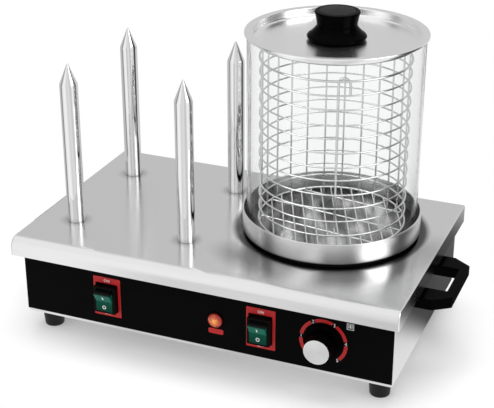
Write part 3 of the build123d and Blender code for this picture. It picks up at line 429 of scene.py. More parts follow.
@dataclass(frozen=True)
class BrushedSteel(Finish):
    """Sheet steel brushed in one direction, with fine lines that blur what it mirrors across them.

    The lines and the broad swells are counted in a metre. Where asked, the colour has a painted contact shade
    within a given reach of what stands on the steel, and a painted shadow and reflection of the water pan.
    """

    name: str
    colour: Colour
    roughness: float
    anisotropy: float
    grain: Grain
    centre: Point = (0.0, 0.0, 0.0)
    line: float = 900.0
    depth: float = 0.0000012
    contrast: float = 0.05
    contact: float = 0.0
    stained: bool = False
    broad: float = 9.0
    fine_share: float = 0.75
    uneven: float = 0.15
    stretch: float = 0.02
    turn_reach: float = 0.0015
    contact_samples: int = 12
    contact_shade: float = 0.05
    stain_shade: float = 0.08
    # Painted shadow and reflection of the water pan: darkness by distance from its axis, at its edge, and by
    # bearing from the camera
    stain_reach: Stops = ((0.112, 1.0), (0.132, 0.8), (0.168, 0.0))
    stain_edge: Stops = ((0.112, 1.0), (0.1215, 0.0))
    stain_sides: Stops = (
        (0.28, 0.0),
        (0.35, 0.75),
        (0.42, 0.6),
        (0.455, 0.0),
        (0.485, 0.9),
        (0.53, 0.9),
        (0.56, 0.0),
        (0.66, 0.4),
        (0.74, 0.0),
    )

    def material(self) -> bpy.types.Material:
        """Build the material.

        Returns:
            The new material.
        """
        graph = Graph(self.name)
        vector, tangent = self.lines(graph)
        fine = graph.noise(vector, self.line, 3.0, 0.6)
        both = graph.weighed(fine, graph.noise(graph.place(), self.broad, 2.0), self.fine_share)
        colour = graph.tint(both, *(scaled(self.colour, 1 + way * self.contrast) for way in (-1, 1)))
        # Painted contact shade: the colour darkens where ambient occlusion finds something within the reach
        if self.contact > 0:
            open_sky = graph.add("AmbientOcclusion", samples=self.contact_samples)
            open_sky.inputs["Distance"].default_value = self.contact
            colour = graph.tint(open_sky.outputs["AO"], scaled(self.colour, self.contact_shade), colour)
        # Painted shadow and reflection of the water pan on the steel
        if self.stained:
            colour = graph.tint(self.steam_ring(graph), colour, scaled(self.colour, self.stain_shade))
        graph.principled(
            Base_Color=colour,
            Metallic=1.0,
            Roughness=graph.spread(both, *(self.roughness * (1 + way * self.uneven) for way in (-1, 1))),
            Anisotropic=self.anisotropy,
            Normal=graph.bump(fine, self.depth),
            Tangent=tangent,
        )
        return graph.owner

    def steam_ring(self, graph: Graph) -> Socket:
        """The painted shadow and reflection of the water pan: darker steel round its foot and in front of it.

        Args:
            graph: the material being built.

        Returns:
            Its strength: full at the pan's edge, and in front fading over a hand's width.
        """
        flat = graph.place((1.0, 1.0, 0.0), PAN_AXIS)
        away = graph.length(flat)
        near = graph.ramp(away, self.stain_reach, True)
        edge = graph.ramp(away, self.stain_edge, True)
        front = graph.ramp(graph.bearing(flat, CAMERA_AZIMUTH), self.stain_sides, True)
        return graph.math("MAXIMUM", edge, graph.math("MULTIPLY", near, front))

    def lines(self, graph: Graph) -> tuple[Socket, Socket]:
        """Where the brush lines are read, and the way square to them that they blur.

        Lines round an axis are read by distance from it, by a little of the turn about it and by the
        place along it. Straight lines are read with their own direction pressed together.

        Args:
            graph: the material being built.

        Returns:
            The noise's vector and the tangent.
        """
        if self.grain in (Grain.ROUND_Z, Grain.ROUND_Y):
            upright = self.grain is Grain.ROUND_Z
            across, back, up = graph.parts(graph.place(centre=self.centre))
            other, axial = (back, up) if upright else (up, back)
            squares = [graph.math("MULTIPLY", part, part) for part in (across, other)]
            radius = graph.math("SQRT", graph.math("ADD", *squares))
            turn = graph.math("ARCTAN2", other, across)
            read = graph.vector(radius, graph.math("MULTIPLY", turn, self.turn_reach), axial)
            return read, graph.unit(graph.vector(across, *((other, radius) if upright else (radius, other))))
        stretch = {
            Grain.ALONG_X: (self.stretch, 1.0, 1.0),
            Grain.ALONG_Y: (1.0, self.stretch, 1.0),
            Grain.ALONG_Z: (1.0, 1.0, self.stretch),
        }[self.grain]
        square = graph.vector(*(0.0 if part == self.stretch else 1.0 for part in stretch))
        return graph.place(stretch, self.centre), square


@dataclass(frozen=True)
class Moulded(Finish):
    """Moulded plastic or rubber, with a fine grain, faint mottling and a painted highlight that makes edges
    slightly paler.
    """

    name: str
    colour: Colour
    roughness: float
    specular: float = 0.5
    grain: float = 2500.0
    depth: float = 0.00001
    coat: float = 0.0
    coat_roughness: float = 0.08
    mottling: float = 40.0
    mottling_share: float = 0.6
    edge_stops: Stops = ((0.5, 0.0), (0.62, 1.0))
    colour_range: Spot = (0.85, 1.35)
    roughness_range: Spot = (0.85, 1.2)

    def material(self) -> bpy.types.Material:
        """Build the material.

        Returns:
            The new material.
        """
        graph = Graph(self.name)
        fine = graph.noise(graph.place(), self.grain, 2.0)
        broad = graph.noise(graph.place(), self.mottling, 3.0)
        geometry = graph.add("NewGeometry")
        # Painted highlight: edges made paler by their pointiness, mixed with the real mottling
        edge = graph.ramp(geometry.outputs["Pointiness"], self.edge_stops)
        mottling_and_highlight = graph.weighed(broad, edge, self.mottling_share)
        graph.principled(
            Base_Color=graph.tint(mottling_and_highlight, *(scaled(self.colour, share) for share in self.colour_range)),
            Roughness=graph.spread(broad, *(self.roughness * share for share in self.roughness_range)),
            Specular_IOR_Level=self.specular,
            Coat_Weight=self.coat,
            Coat_Roughness=self.coat_roughness,
            Normal=graph.bump(fine, self.depth),
        )
        return graph.owner


@dataclass(frozen=True)
class ClearGlass(Finish):
    """Clear thin glass: seen straight through, paler and more mirroring where it turns away."""

    name: str
    tint: Colour = (0.968, 0.972, 0.972)
    let_through: float = 0.97
    refraction: float = 1.02
    smears: float = 14.0
    smear_roughness: float = 0.01
    sheen: float = 0.95
    sheen_roughness: float = 0.06
    sheen_least: float = 0.012
    sheen_edge: float = 0.5
    falloff: float = 5.0

    def material(self) -> bpy.types.Material:
        """Build the material.

        Returns:
            The new material.
        """
        graph = Graph(self.name)
        smear = graph.noise(graph.place((1.0, 1.0, 0.4)), self.smears, 3.0)
        glass = graph.principled(
            Base_Color=(*self.tint, 1.0),
            Roughness=graph.spread(smear, 0.0, self.smear_roughness),
            IOR=self.refraction,
            Transmission_Weight=1.0,
        )
        sheen = graph.add("BsdfGlossy")
        sheen.inputs["Color"].default_value = (*grey(self.sheen), 1.0)
        sheen.inputs["Roughness"].default_value = self.sheen_roughness
        facing = graph.add("LayerWeight")
        turned_away = graph.math("POWER", facing.outputs["Facing"], self.falloff)
        edge = graph.math("MULTIPLY", turned_away, self.sheen_edge)
        share = graph.math("ADD", edge, self.sheen_least, clamp=True)
        clear = graph.add("BsdfTransparent")
        clear.inputs[0].default_value = (*grey(self.let_through), 1.0)
        path = graph.add("LightPath")
        unseen = graph.math("MAXIMUM", path.outputs["Is Shadow Ray"], path.outputs["Is Diffuse Ray"])
        wall = graph.either(share, glass.outputs[0], sheen.outputs[0])
        graph.join(graph.either(unseen, wall, clear.outputs[0]), graph.out.inputs["Surface"])
        return graph.owner


@dataclass(frozen=True)
class Ink(Finish):
    """Printed ink: flat colour with the slight unevenness of a screen print."""

    name: str
    colour: Colour
    specks: float = 700.0
    colour_range: Spot = (0.85, 1.1)
    roughness_range: Spot = (0.35, 0.5)
    specular: float = 0.3

    def material(self) -> bpy.types.Material:
        """Build the material.

        Returns:
            The new material.
        """
        graph = Graph(self.name)
        speck = graph.noise(graph.place(), self.specks, 3.0)
        graph.principled(
            Base_Color=graph.tint(speck, *(scaled(self.colour, share) for share in self.colour_range)),
            Roughness=graph.spread(speck, *self.roughness_range),
            Specular_IOR_Level=self.specular,
        )
        return graph.owner


@dataclass(frozen=True)
class TintedLens(Finish):
    """Tinted glowing plastic with a lighter heart."""

    name: str
    rim: Colour
    heart: Colour
    centre: Point
    reach: float
    glow: float
    ripples: float = 500.0
    ripple_share: float = 0.45
    bands: tuple[float, ...] = (0.15, 0.5, 0.85)
    roughness_range: Spot = (0.1, 0.2)
    coat: float = 0.6
    coat_roughness: float = 0.05

    def material(self) -> bpy.types.Material:
        """Build the material: the colour runs from the heart to the rim with distance.

        Returns:
            The new material.
        """
        graph = Graph(self.name)
        away = graph.length(graph.place(centre=self.centre))
        share = graph.math("DIVIDE", away, self.reach, clamp=True)
        ripple = graph.noise(graph.place(), self.ripples, 2.0)
        shift = graph.spread(ripple, -self.ripple_share, self.ripple_share)
        share = graph.math("ADD", share, shift, clamp=True)
        middle = tuple((a * 2 + b) / 3 for a, b in zip(self.rim, self.heart))
        colour = graph.ramp(share, tuple(zip(self.bands, (self.heart, middle, self.rim))))
        graph.principled(
            Base_Color=colour,
            Roughness=graph.spread(ripple, *self.roughness_range),
            Emission_Color=colour,
            Emission_Strength=self.glow,
            Coat_Weight=self.coat,
            Coat_Roughness=self.coat_roughness,
        )
        return graph.owner


@dataclass(frozen=True)
class PanSteel(Finish):
    """Polished spun steel, whose inside has painted reflection streaks and painted shade darkening it towards
    its wall.
    """

    name: str
    colour: Colour
    roughness: float
    clouded_below_z: float
    inner_radius: float
    anisotropy: float = 0.75
    uneven: float = 0.1
    clouds: float = 38.0
    cloud_stops: Stops = ((0.36, 0.10), (0.5, 0.40), (0.66, 0.95))
    streak_turn: float = 22.0
    streak_stretch: float = 3.2
    wall_stops: Stops = ((0.62, 0.0), (0.95, 1.0))
    wall_shade: float = 0.03

    def material(self) -> bpy.types.Material:
        """Build the material: the inside is what lies low and near enough to the axis.

        Returns:
            The new material.
        """
        graph = Graph(self.name)
        around = graph.place(centre=PAN_AXIS)
        across, back, up = graph.parts(around)
        radius = graph.length(graph.place((1.0, 1.0, 0.0), PAN_AXIS))
        inner = self.inner_radius * MM
        low = graph.math("LESS_THAN", up, self.clouded_below_z * MM)
        inside = graph.math("MULTIPLY", low, graph.math("LESS_THAN", radius, inner))
        streak = graph.add("Mapping", vector_type="TEXTURE")
        streak.inputs["Rotation"].default_value = (0.0, 0.0, radians(self.streak_turn))
        streak.inputs["Scale"].default_value = (1.0, self.streak_stretch, 1.0)
        graph.join(around, streak.inputs["Vector"])
        # Painted reflection: dark and bright streaks on the pan's inside
        cloud = graph.noise(streak.outputs["Vector"], self.clouds, 1.5)
        painted_streaks = graph.ramp(cloud, self.cloud_stops, True)
        # Painted shade: the inside darkens towards the wall
        by_wall = graph.ramp(graph.math("DIVIDE", radius, inner, clamp=True), self.wall_stops, True)
        shaded = graph.tint(by_wall, painted_streaks, grey(self.wall_shade))
        graph.principled(
            Base_Color=graph.tint(inside, self.colour, shaded),
            Metallic=1.0,
            Roughness=graph.spread(cloud, *(self.roughness * (1 + way * self.uneven) for way in (-1, 1))),
            Anisotropic=self.anisotropy,
            Tangent=graph.unit(graph.vector(across, back, radius)),
        )
        return graph.owner


@dataclass(frozen=True)
class RockerPlastic(Finish):
    """Tinted rocker plastic with painted shading: dark on its lower face, lighter green above and black at
    its top end in shade.
    """

    name: str
    lower: Colour
    upper: Colour
    low_z: float
    high_z: float
    bands: tuple[float, ...] = (0.0, 0.44, 0.52, 0.8, 0.9)
    foot_shade: float = 0.6
    top_shade: float = 0.004
    clouds: float = 260.0
    cloud_share: float = 0.02
    depth: float = 0.00002
    roughness_range: Spot = (0.14, 0.24)
    specular: float = 0.06
    coat: float = 0.03
    coat_roughness: float = 0.06

    def material(self) -> bpy.types.Material:
        """Build the material: the colour changes with height, as painted shade and painted light.

        Returns:
            The new material.
        """
        graph = Graph(self.name)
        rise = graph.math("SUBTRACT", graph.parts(graph.place())[2], self.low_z * MM)
        height = graph.math("DIVIDE", rise, (self.high_z - self.low_z) * MM, clamp=True)
        cloud = graph.noise(graph.place(), self.clouds, 2.0)
        shift = graph.spread(cloud, -self.cloud_share, self.cloud_share)
        height = graph.math("ADD", height, shift, clamp=True)
        # Painted shade and light by height: a darker foot, the lower face, the lighter upper face and a black
        # top end in shade
        foot, top = scaled(self.lower, self.foot_shade), grey(self.top_shade)
        stops = tuple(zip(self.bands, (foot, self.lower, self.upper, self.upper, top)))
        graph.principled(
            Base_Color=graph.ramp(height, stops),
            Roughness=graph.spread(cloud, *self.roughness_range),
            Specular_IOR_Level=self.specular,
            Coat_Weight=self.coat,
            Coat_Roughness=self.coat_roughness,
            Normal=graph.bump(cloud, self.depth),
        )
        return graph.owner


# Finishes
# The deck has a painted contact shade and a painted shadow and reflection of the water pan
DECK_STEEL = BrushedSteel(
    "brushed_deck_steel",
    grey(0.84),
    0.19,
    0.85,
    Grain.ALONG_X,
    depth=0.0000003,
    contrast=0.012,
    contact=0.012,
    stained=True,
)
SIDE_STEEL = BrushedSteel(
    "brushed_side_steel", grey(0.78), 0.32, 0.5, Grain.ALONG_Y, depth=0.0000005, contrast=0.02
)
LID_STEEL = BrushedSteel(
    "spun_lid_steel", grey(0.97), 0.24, 0.35, Grain.ROUND_Z, PAN_AXIS, 700.0, 0.0000003, 0.012
)
PAN_STEEL = PanSteel("polished_pan_steel", grey(0.85), 0.25, 136.0, 106.0)
SPIKE_STEEL = BrushedSteel(
    "polished_spike_steel", grey(0.88), 0.06, 0.0, Grain.ALONG_Z, depth=0.0000003, contrast=0.02
)
WIRE_STEEL = BrushedSteel("bright_wire", grey(0.86), 0.18, 0.0, Grain.ALONG_Z, contrast=0.04)
ZINC_STEEL = BrushedSteel(
    "zinc_plated_steel", (0.62, 0.63, 0.62), 0.38, 0.0, Grain.ALONG_X, line=400.0, contrast=0.08
)
HEATER_STEEL = BrushedSteel("heater_sheath_steel", (0.45, 0.44, 0.42), 0.45, 0.0, Grain.ALONG_Z, contrast=0.1)
CAST_METAL = BrushedSteel("cast_plate_metal", grey(0.42), 0.5, 0.0, Grain.ROUND_Z, PAN_AXIS)
COPPER_TUBE = BrushedSteel("drawn_copper", (0.75, 0.42, 0.28), 0.3, 0.0, Grain.ALONG_X)
PANEL_BLACK = Moulded("black_panel", grey(0.0022), 0.32, 0.02, 900.0, 0.000003)
KNOB_BLACK = Moulded("glossy_black_knob", grey(0.0012), 0.14, 0.012, 1400.0, 0.000004, 0.012)
KNOB_TOP_BLACK = Moulded("satin_black_top", grey(0.006), 0.45, 0.09, 3000.0, 0.00002)
SATIN_BLACK = Moulded("satin_black_plastic", grey(0.0012), 0.26, 0.015, 2500.0, 0.000012)
BODY_BLACK = Moulded("switch_body_plastic", grey(0.0025), 0.36, 0.06)
FOOT_RUBBER = Moulded("foot_rubber", grey(0.008), 0.55, 0.2, 1500.0, 0.00003)
PALE_PLASTIC = Moulded("pale_insulator", (0.62, 0.58, 0.5), 0.5)
CLEAR_GLASS = ClearGlass("clear_cylinder_glass")
# Rocker plastic with painted shading by height
GREEN_ROCKER = RockerPlastic("green_rocker_plastic", (0.002, 0.075, 0.045), (0.004, 0.125, 0.08), 52.0, 80.0)
ORANGE_LENS = TintedLens(
    "orange_lamp_lens",
    rim=(0.36, 0.018, 0.005),
    heart=(1.0, 0.40, 0.06),
    centre=(LAMP_X * MM, (PANEL_Y - 3.0) * MM, CONTROL_Z * MM),
    reach=0.0085,
    glow=0.28,
)
RED_INK = Ink("red_print", (0.52, 0.01, 0.012))
WHITE_INK = Ink("white_print", grey(0.85))
CAP_SILVER = BrushedSteel(
    "spun_silver", grey(0.95), 0.26, 0.6, Grain.ROUND_Y, (DIAL_X * MM, 0.0, CONTROL_Z * MM), contrast=0.12
)


def quads(rows: int, columns: int, wrap_rows: bool, wrap_columns: bool) -> np.ndarray:
    """The four corners of every cell of a grid of points, counted row by row.

    Cell (i, j) joins points (i, j), (i + 1, j), (i + 1, j + 1) and (i, j + 1), and a wrapped
    direction joins its last line of points to its first.

    Args:
        rows: points along the first direction.
        columns: points along the second.
        wrap_rows: whether the first direction closes on itself.
        wrap_columns: whether the second does.

    Returns:
        An array of four indices a cell.
    """
    i = np.arange(rows if wrap_rows else rows - 1)[:, None]
    j = np.arange(columns if wrap_columns else columns - 1)[None, :]
    next_i = (i + 1) % rows
    next_j = (j + 1) % columns
    corners = (i * columns + j, next_i * columns + j, next_i * columns + next_j, i * columns + next_j)
    return np.stack([np.broadcast_to(c, (i.shape[0], j.shape[1])).ravel() for c in corners], axis=1)


@dataclass
class Shape:
    """Points in millimetres and the faces that join them; a triangle names its last corner twice."""

    points: np.ndarray
    faces: np.ndarray

    def __add__(self, other: "Shape") -> "Shape":
        """Join two shapes.

        Args:
            other: the second shape.

        Returns:
            Both shapes as one.
        """
        faces = np.vstack([self.faces, other.faces + len(self.points)])
        return Shape(np.vstack([self.points, other.points]), faces)


def several(shapes: list[Shape]) -> Shape:
    """Join a list of shapes into one.

    Args:
        shapes: the shapes.

    Returns:
        One shape with all their points and faces.
    """
    joined = shapes[0]
    for shape in shapes[1:]:
        joined = joined + shape
    return joined


def piece(
    name: str,
    shape: Shape,
    finish: Finish,
    body: str,
    replaced: tuple[str, ...] = (),
) -> None:
    """Turn a shape into a closed, smooth-shaded object that rides on a body.

    Args:
        name: the object's name.
        shape: points in millimetres and their faces.
        finish: what it is made of.
        body: the body that it moves with.
        replaced: the solids that it stands for.
    """
    mesh = bpy.data.meshes.new(name)
    thin = shape.faces[:, 2] == shape.faces[:, 3]
    faces = shape.faces[~thin].tolist() + shape.faces[thin, :3].tolist()
    mesh.from_pydata((shape.points * MM).tolist(), [], faces)
    work = bmesh.new()
    work.from_mesh(mesh)
    bmesh.ops.remove_doubles(work, verts=work.verts, dist=WELD_REACH)
    bmesh.ops.recalc_face_normals(work, faces=work.faces)
    work.to_mesh(mesh)
    work.free()
    mesh.shade_smooth()
    mesh.set_sharp_from_angle(angle=radians(SHARP_EDGE))
    mesh.materials.append(material_of(finish))
    thing = bpy.data.objects.new(name, mesh)
    bpy.context.scene.collection.objects.link(thing)
    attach(thing, body)
    if replaced:
        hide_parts(*replaced)
    LOG.info("piece %s rides on %s with %d faces", name, body, len(mesh.polygons))


@cache
def material_of(finish: Finish) -> bpy.types.Material:
    """The finish's material, built once.

    Args:
        finish: the finish.

    Returns:
        The material.
    """
    return finish.material()


def rounded(
    corners: Sequence[Spot], radii: Sequence[float], steps: int = 6, closed: bool = False
) -> np.ndarray:
    """A polyline whose corners are arcs.

    At a corner of radius r, where the line turns by an angle t, the arc starts and ends r tan(t/2) from
    the corner, and its points are the centre plus r times a unit vector that turns evenly.

    Args:
        corners: the corner points.
        radii: one radius a corner, 0 where it stays sharp.
        steps: divisions of each arc.
        closed: whether the line closes on itself.

    Returns:
        The points, one a row.
    """
    points = np.asarray(corners, float)
    count = len(points)
    out = []
    for index, radius in enumerate(radii):
        corner = points[index]
        if radius <= 0 or (not closed and index in (0, count - 1)):
            out.append(corner[None, :])
            continue
        before = points[index - 1] - corner
        after = points[(index + 1) % count] - corner
        before = before / np.linalg.norm(before)
        after = after / np.linalg.norm(after)
        half = np.arccos(np.clip(before @ after, -1, 1)) / 2
        middle = (before + after) / np.linalg.norm(before + after)
        centre = corner + middle * radius / np.sin(half)
        start = corner + before * radius / np.tan(half) - centre
        end = corner + after * radius / np.tan(half) - centre
        share = np.linspace(0, 1, steps + 1)[:, None]
        sweep = pi - 2 * half
        arc = (np.sin((1 - share) * sweep) * start + np.sin(share * sweep) * end) / np.sin(sweep)
        out.append(centre + arc)
    return np.vstack(out)


def turned(profile: np.ndarray, axis: Spot, turns: int = 96, closed: bool = False) -> Shape:
    """A surface of revolution about an upright axis.

    Point (r, z) of the profile goes to the axis plus r (cos t, sin t) at height z, for even angles t.

    Args:
        profile: radius and height, one pair a row.
        axis: where the axis stands.
        turns: steps round the axis.
        closed: whether the profile closes on itself, as a tube wall's does.

    Returns:
        The shape.
    """
    angle = np.linspace(0, 2 * pi, turns, endpoint=False)[:, None]
    radius, height = profile[:, 0][None, :], profile[:, 1][None, :]
    grid = np.stack(
        [axis[0] + radius * np.cos(angle), axis[1] + radius * np.sin(angle), height + 0 * angle], axis=2
    )
    return Shape(grid.reshape(-1, 3), quads(turns, len(profile), True, closed))


def turned_front(profile: np.ndarray, centre: Spot, turns: int = 96) -> Shape:
    """A surface of revolution about an axis that stands out of the control panel.

    Point (r, d) of the profile goes to the centre plus r (cos t, sin t) across the panel, d in front of it.

    Args:
        profile: radius and distance out of the panel, one pair a row.
        centre: the axis's place on the panel, across and up.
        turns: steps round the axis.

    Returns:
        The shape.
    """
    upright = turned(profile, (0.0, 0.0), turns)
    x, y, out = upright.points.T
    return Shape(np.stack([centre[0] + x, PANEL_Y - out, centre[1] + y], axis=1), upright.faces)


def eased(points: Sequence[Spot]) -> np.ndarray:
    """A smooth line through given points.

    Between two points it is the cubic whose slopes at them are half the step between their neighbours.

    Args:
        points: the points that it passes.

    Returns:
        The line's points, one a row.
    """
    known = np.asarray(points, float)
    slope = np.gradient(known, axis=0)
    t = np.linspace(0, 1, CURVE_STEPS, endpoint=False)[None, :, None]
    first, last = known[:-1, None, :], known[1:, None, :]
    leave, reach = slope[:-1, None, :], slope[1:, None, :]
    curve = (
        (2 * t**3 - 3 * t**2 + 1) * first
        + (t**3 - 2 * t**2 + t) * leave
        + (3 * t**2 - 2 * t**3) * last
        + (t**3 - t**2) * reach
    )
    return np.vstack([curve.reshape(-1, 2), known[-1:]])


def carried(path: np.ndarray, radius: float, up: Point, sides: int, closed: bool = False) -> Shape:
    """A round wire along a path.

    At each point of the path, the wire's ring lies in the plane of two unit vectors square to the path:
    one square to the up vector too, and one square to both.

    Args:
        path: points, one a row.
        radius: the wire's radius.
        up: a direction that the path never follows.
        sides: points round the wire.
        closed: whether the path closes on itself.

    Returns:
        The shape, with flat ends where it is open.
    """
    if closed:
        along = np.roll(path, -1, axis=0) - np.roll(path, 1, axis=0)
    else:
        along = np.gradient(path, axis=0)
    along /= np.linalg.norm(along, axis=1, keepdims=True)
    across = np.cross(np.asarray(up, float), along)
    across /= np.linalg.norm(across, axis=1, keepdims=True)
    over = np.cross(along, across)
    turn = np.linspace(0, 2 * pi, sides, endpoint=False)[None, :, None]
    grid = path[:, None, :] + radius * (across[:, None, :] * np.cos(turn) + over[:, None, :] * np.sin(turn))
    faces = quads(len(path), sides, closed, True)
    points = grid.reshape(-1, 3)
    if closed:
        return Shape(points, faces)
    first, last = len(points), len(points) + 1
    ring = np.arange(sides)
    shifted = np.roll(ring, -1)
    start = np.stack([np.full(sides, first), shifted, ring, ring], axis=1)
    base = (len(path) - 1) * sides
    end = np.stack([np.full(sides, last), base + ring, base + shifted, base + shifted], axis=1)
    return Shape(np.vstack([points, path[:1], path[-1:]]), np.vstack([faces, start, end]))


def plate(outline: np.ndarray, near: float, far: float) -> Shape:
    """A flat plate on the control panel, from an outline that the middle sees all of.

    The outline is drawn at two distances from the panel, its sides join the two, and each face is a fan
    from the outline's middle.

    Args:
        outline: points across and up the panel, in order.
        near: distance of the back from the panel.
        far: distance of the front.

    Returns:
        The shape.
    """
    count = len(outline)
    middle = outline.mean(axis=0)
    flat = np.vstack([outline, middle, outline, middle])
    out = np.repeat([near, far], count + 1)
    points = np.stack([flat[:, 0], PANEL_Y - out, flat[:, 1]], axis=1)
    ring = np.arange(count)
    after = np.roll(ring, -1)
    top = count + 1
    sides = np.stack([ring, after, after + top, ring + top], axis=1)
    back = np.stack([np.full(count, count), ring, after, after], axis=1)
    front = np.stack([np.full(count, count + top), after + top, ring + top, ring + top], axis=1)
    return Shape(points, np.vstack([sides, back, front]))


def band(outer: np.ndarray, inner: np.ndarray, near: float, far: float, closed: bool = True) -> Shape:
    """A flat band on the control panel, between two outlines with the same number of points.

    Four lines of points, the outer and inner outlines at two distances, form a tube of square section.

    Args:
        outer: the outer line, across and up the panel.
        inner: the inner line.
        near: distance of the back from the panel.
        far: distance of the front.
        closed: whether the band closes on itself.

    Returns:
        The shape.
    """
    count = len(outer)
    lines = [(outer, near), (inner, near), (inner, far), (outer, far)]
    tracks = []
    for line, out in lines:
        tracks.append(np.stack([line[:, 0], np.full(count, PANEL_Y - out), line[:, 1]], axis=1))
    grid = np.stack(tracks, axis=1)
    faces = quads(count, 4, closed, True)
    if not closed:
        last = (count - 1) * 4
        faces = np.vstack([faces, [[0, 1, 2, 3], [last + 3, last + 2, last + 1, last]]])
    return Shape(grid.reshape(-1, 3), faces)


def rectangle(centre: Spot, width: float, height: float, radius: float) -> np.ndarray:
    """A rounded rectangle's outline on the panel.

    Args:
        centre: its middle, across and up.
        width: its size across.
        height: its size up.
        radius: its corner radius.

    Returns:
        The points in order.
    """
    x, y = width / 2, height / 2
    corners = [(x, -y), (x, y), (-x, y), (-x, -y)]
    return rounded(corners, [radius] * 4, SMALL_CORNER_STEPS, True) + np.asarray(centre)


def arc(centre: Spot, radius: float, start: float, end: float, count: int) -> np.ndarray:
    """Points along an arc, at even steps of angle.

    Args:
        centre: its middle, across and up the panel.
        radius: its radius.
        start: its first angle in degrees, from the panel's right and rising to the left.
        end: its last.
        count: how many points.

    Returns:
        The points in order.
    """
    angle = np.radians(np.linspace(start, end, count))
    return np.asarray(centre) + radius * np.stack([np.cos(angle), np.sin(angle)], axis=1)


def words(text: str, centre: Spot, size: float, near: float, far: float) -> Shape:
    """Plain lettering on the control panel, as a thin solid.

    Args:
        text: what it says.
        centre: its middle, across and up the panel.
        size: its height.
        near: distance of the back from the panel.
        far: distance of the front.

    Returns:
        The shape, of triangles whose last corner is named twice.
    """
    curve = bpy.data.curves.new("lettering", "FONT")
    curve.body = text
    curve.size = size * LETTER_SCALE
    curve.extrude = (far - near) / 2
    curve.align_x = "CENTER"
    curve.align_y = "CENTER"
    curve.resolution_u = LETTER_STEPS
    holder = bpy.data.objects.new("lettering", curve)
    mesh = bpy.data.meshes.new_from_object(holder)
    flat = np.zeros(len(mesh.vertices) * 3)
    mesh.vertices.foreach_get("co", flat)
    flat = flat.reshape(-1, 3)
    mesh.calc_loop_triangles()
    corners = np.zeros(len(mesh.loop_triangles) * 3, int)
    mesh.loop_triangles.foreach_get("vertices", corners)
    corners = corners.reshape(-1, 3)
    bpy.data.objects.remove(holder)
    bpy.data.curves.remove(curve)
    bpy.data.meshes.remove(mesh)
    flat = flat - (flat.min(axis=0) + flat.max(axis=0)) / 2
    places = [centre[0] + flat[:, 0], PANEL_Y - (near + far) / 2 - flat[:, 2], centre[1] + flat[:, 1]]
    return Shape(np.stack(places, axis=1), np.hstack([corners, corners[:, 2:]]))


def spaced(count: int, pitch: float, middle: float) -> np.ndarray:
    """Evenly spaced values on both sides of a middle.

    Args:
        count: how many.
        pitch: the step between two.
        middle: their mean.

    Returns:
        The values, rising.
    """
    return (np.arange(count) - (count - 1) / 2) * pitch + middle


@dataclass
class Spikes:
    """The four pointed bun spikes."""

    radius: float = 10.8
    height: float = 200.0
    tip_height: float = 24.7
    tip_radius: float = 0.9
    tip_ease: float = 0.72
    shoulder_ease: float = 12.0
    edge: float = 0.4
    stub_radius: float = 8.0
    stub_length: float = 13.0
    bore_radius: float = 6.3
    bore_height: float = 165.0
    turns: int = 96

    def build(self) -> None:
        """Turn each spike from one profile: stub, foot, shank, eased shoulder, point and heater bore."""
        top, foot = DECK_Z + self.height, DECK_Z - self.stub_length
        bore_top = DECK_Z + self.bore_height
        profile = rounded(
            [
                (0.0, bore_top),
                (self.bore_radius, bore_top),
                (self.bore_radius, foot),
                (self.stub_radius, foot),
                (self.stub_radius, DECK_Z),
                (self.radius, DECK_Z),
                (self.radius, top - self.tip_height),
                (self.tip_radius, top),
                (0.0, top),
            ],
            [0, 0, 0, self.edge, 0, self.edge, self.shoulder_ease, self.tip_ease, 0],
            CORNER_STEPS,
        )
        for row, y in SPIKE_ROWS.items():
            for column, x in SPIKE_COLUMNS.items():
                name = f"{row}_{column}_spike"
                shape = turned(profile, (x, y), self.turns)
                piece(name + "_shell", shape, SPIKE_STEEL, "chassis", (name,))


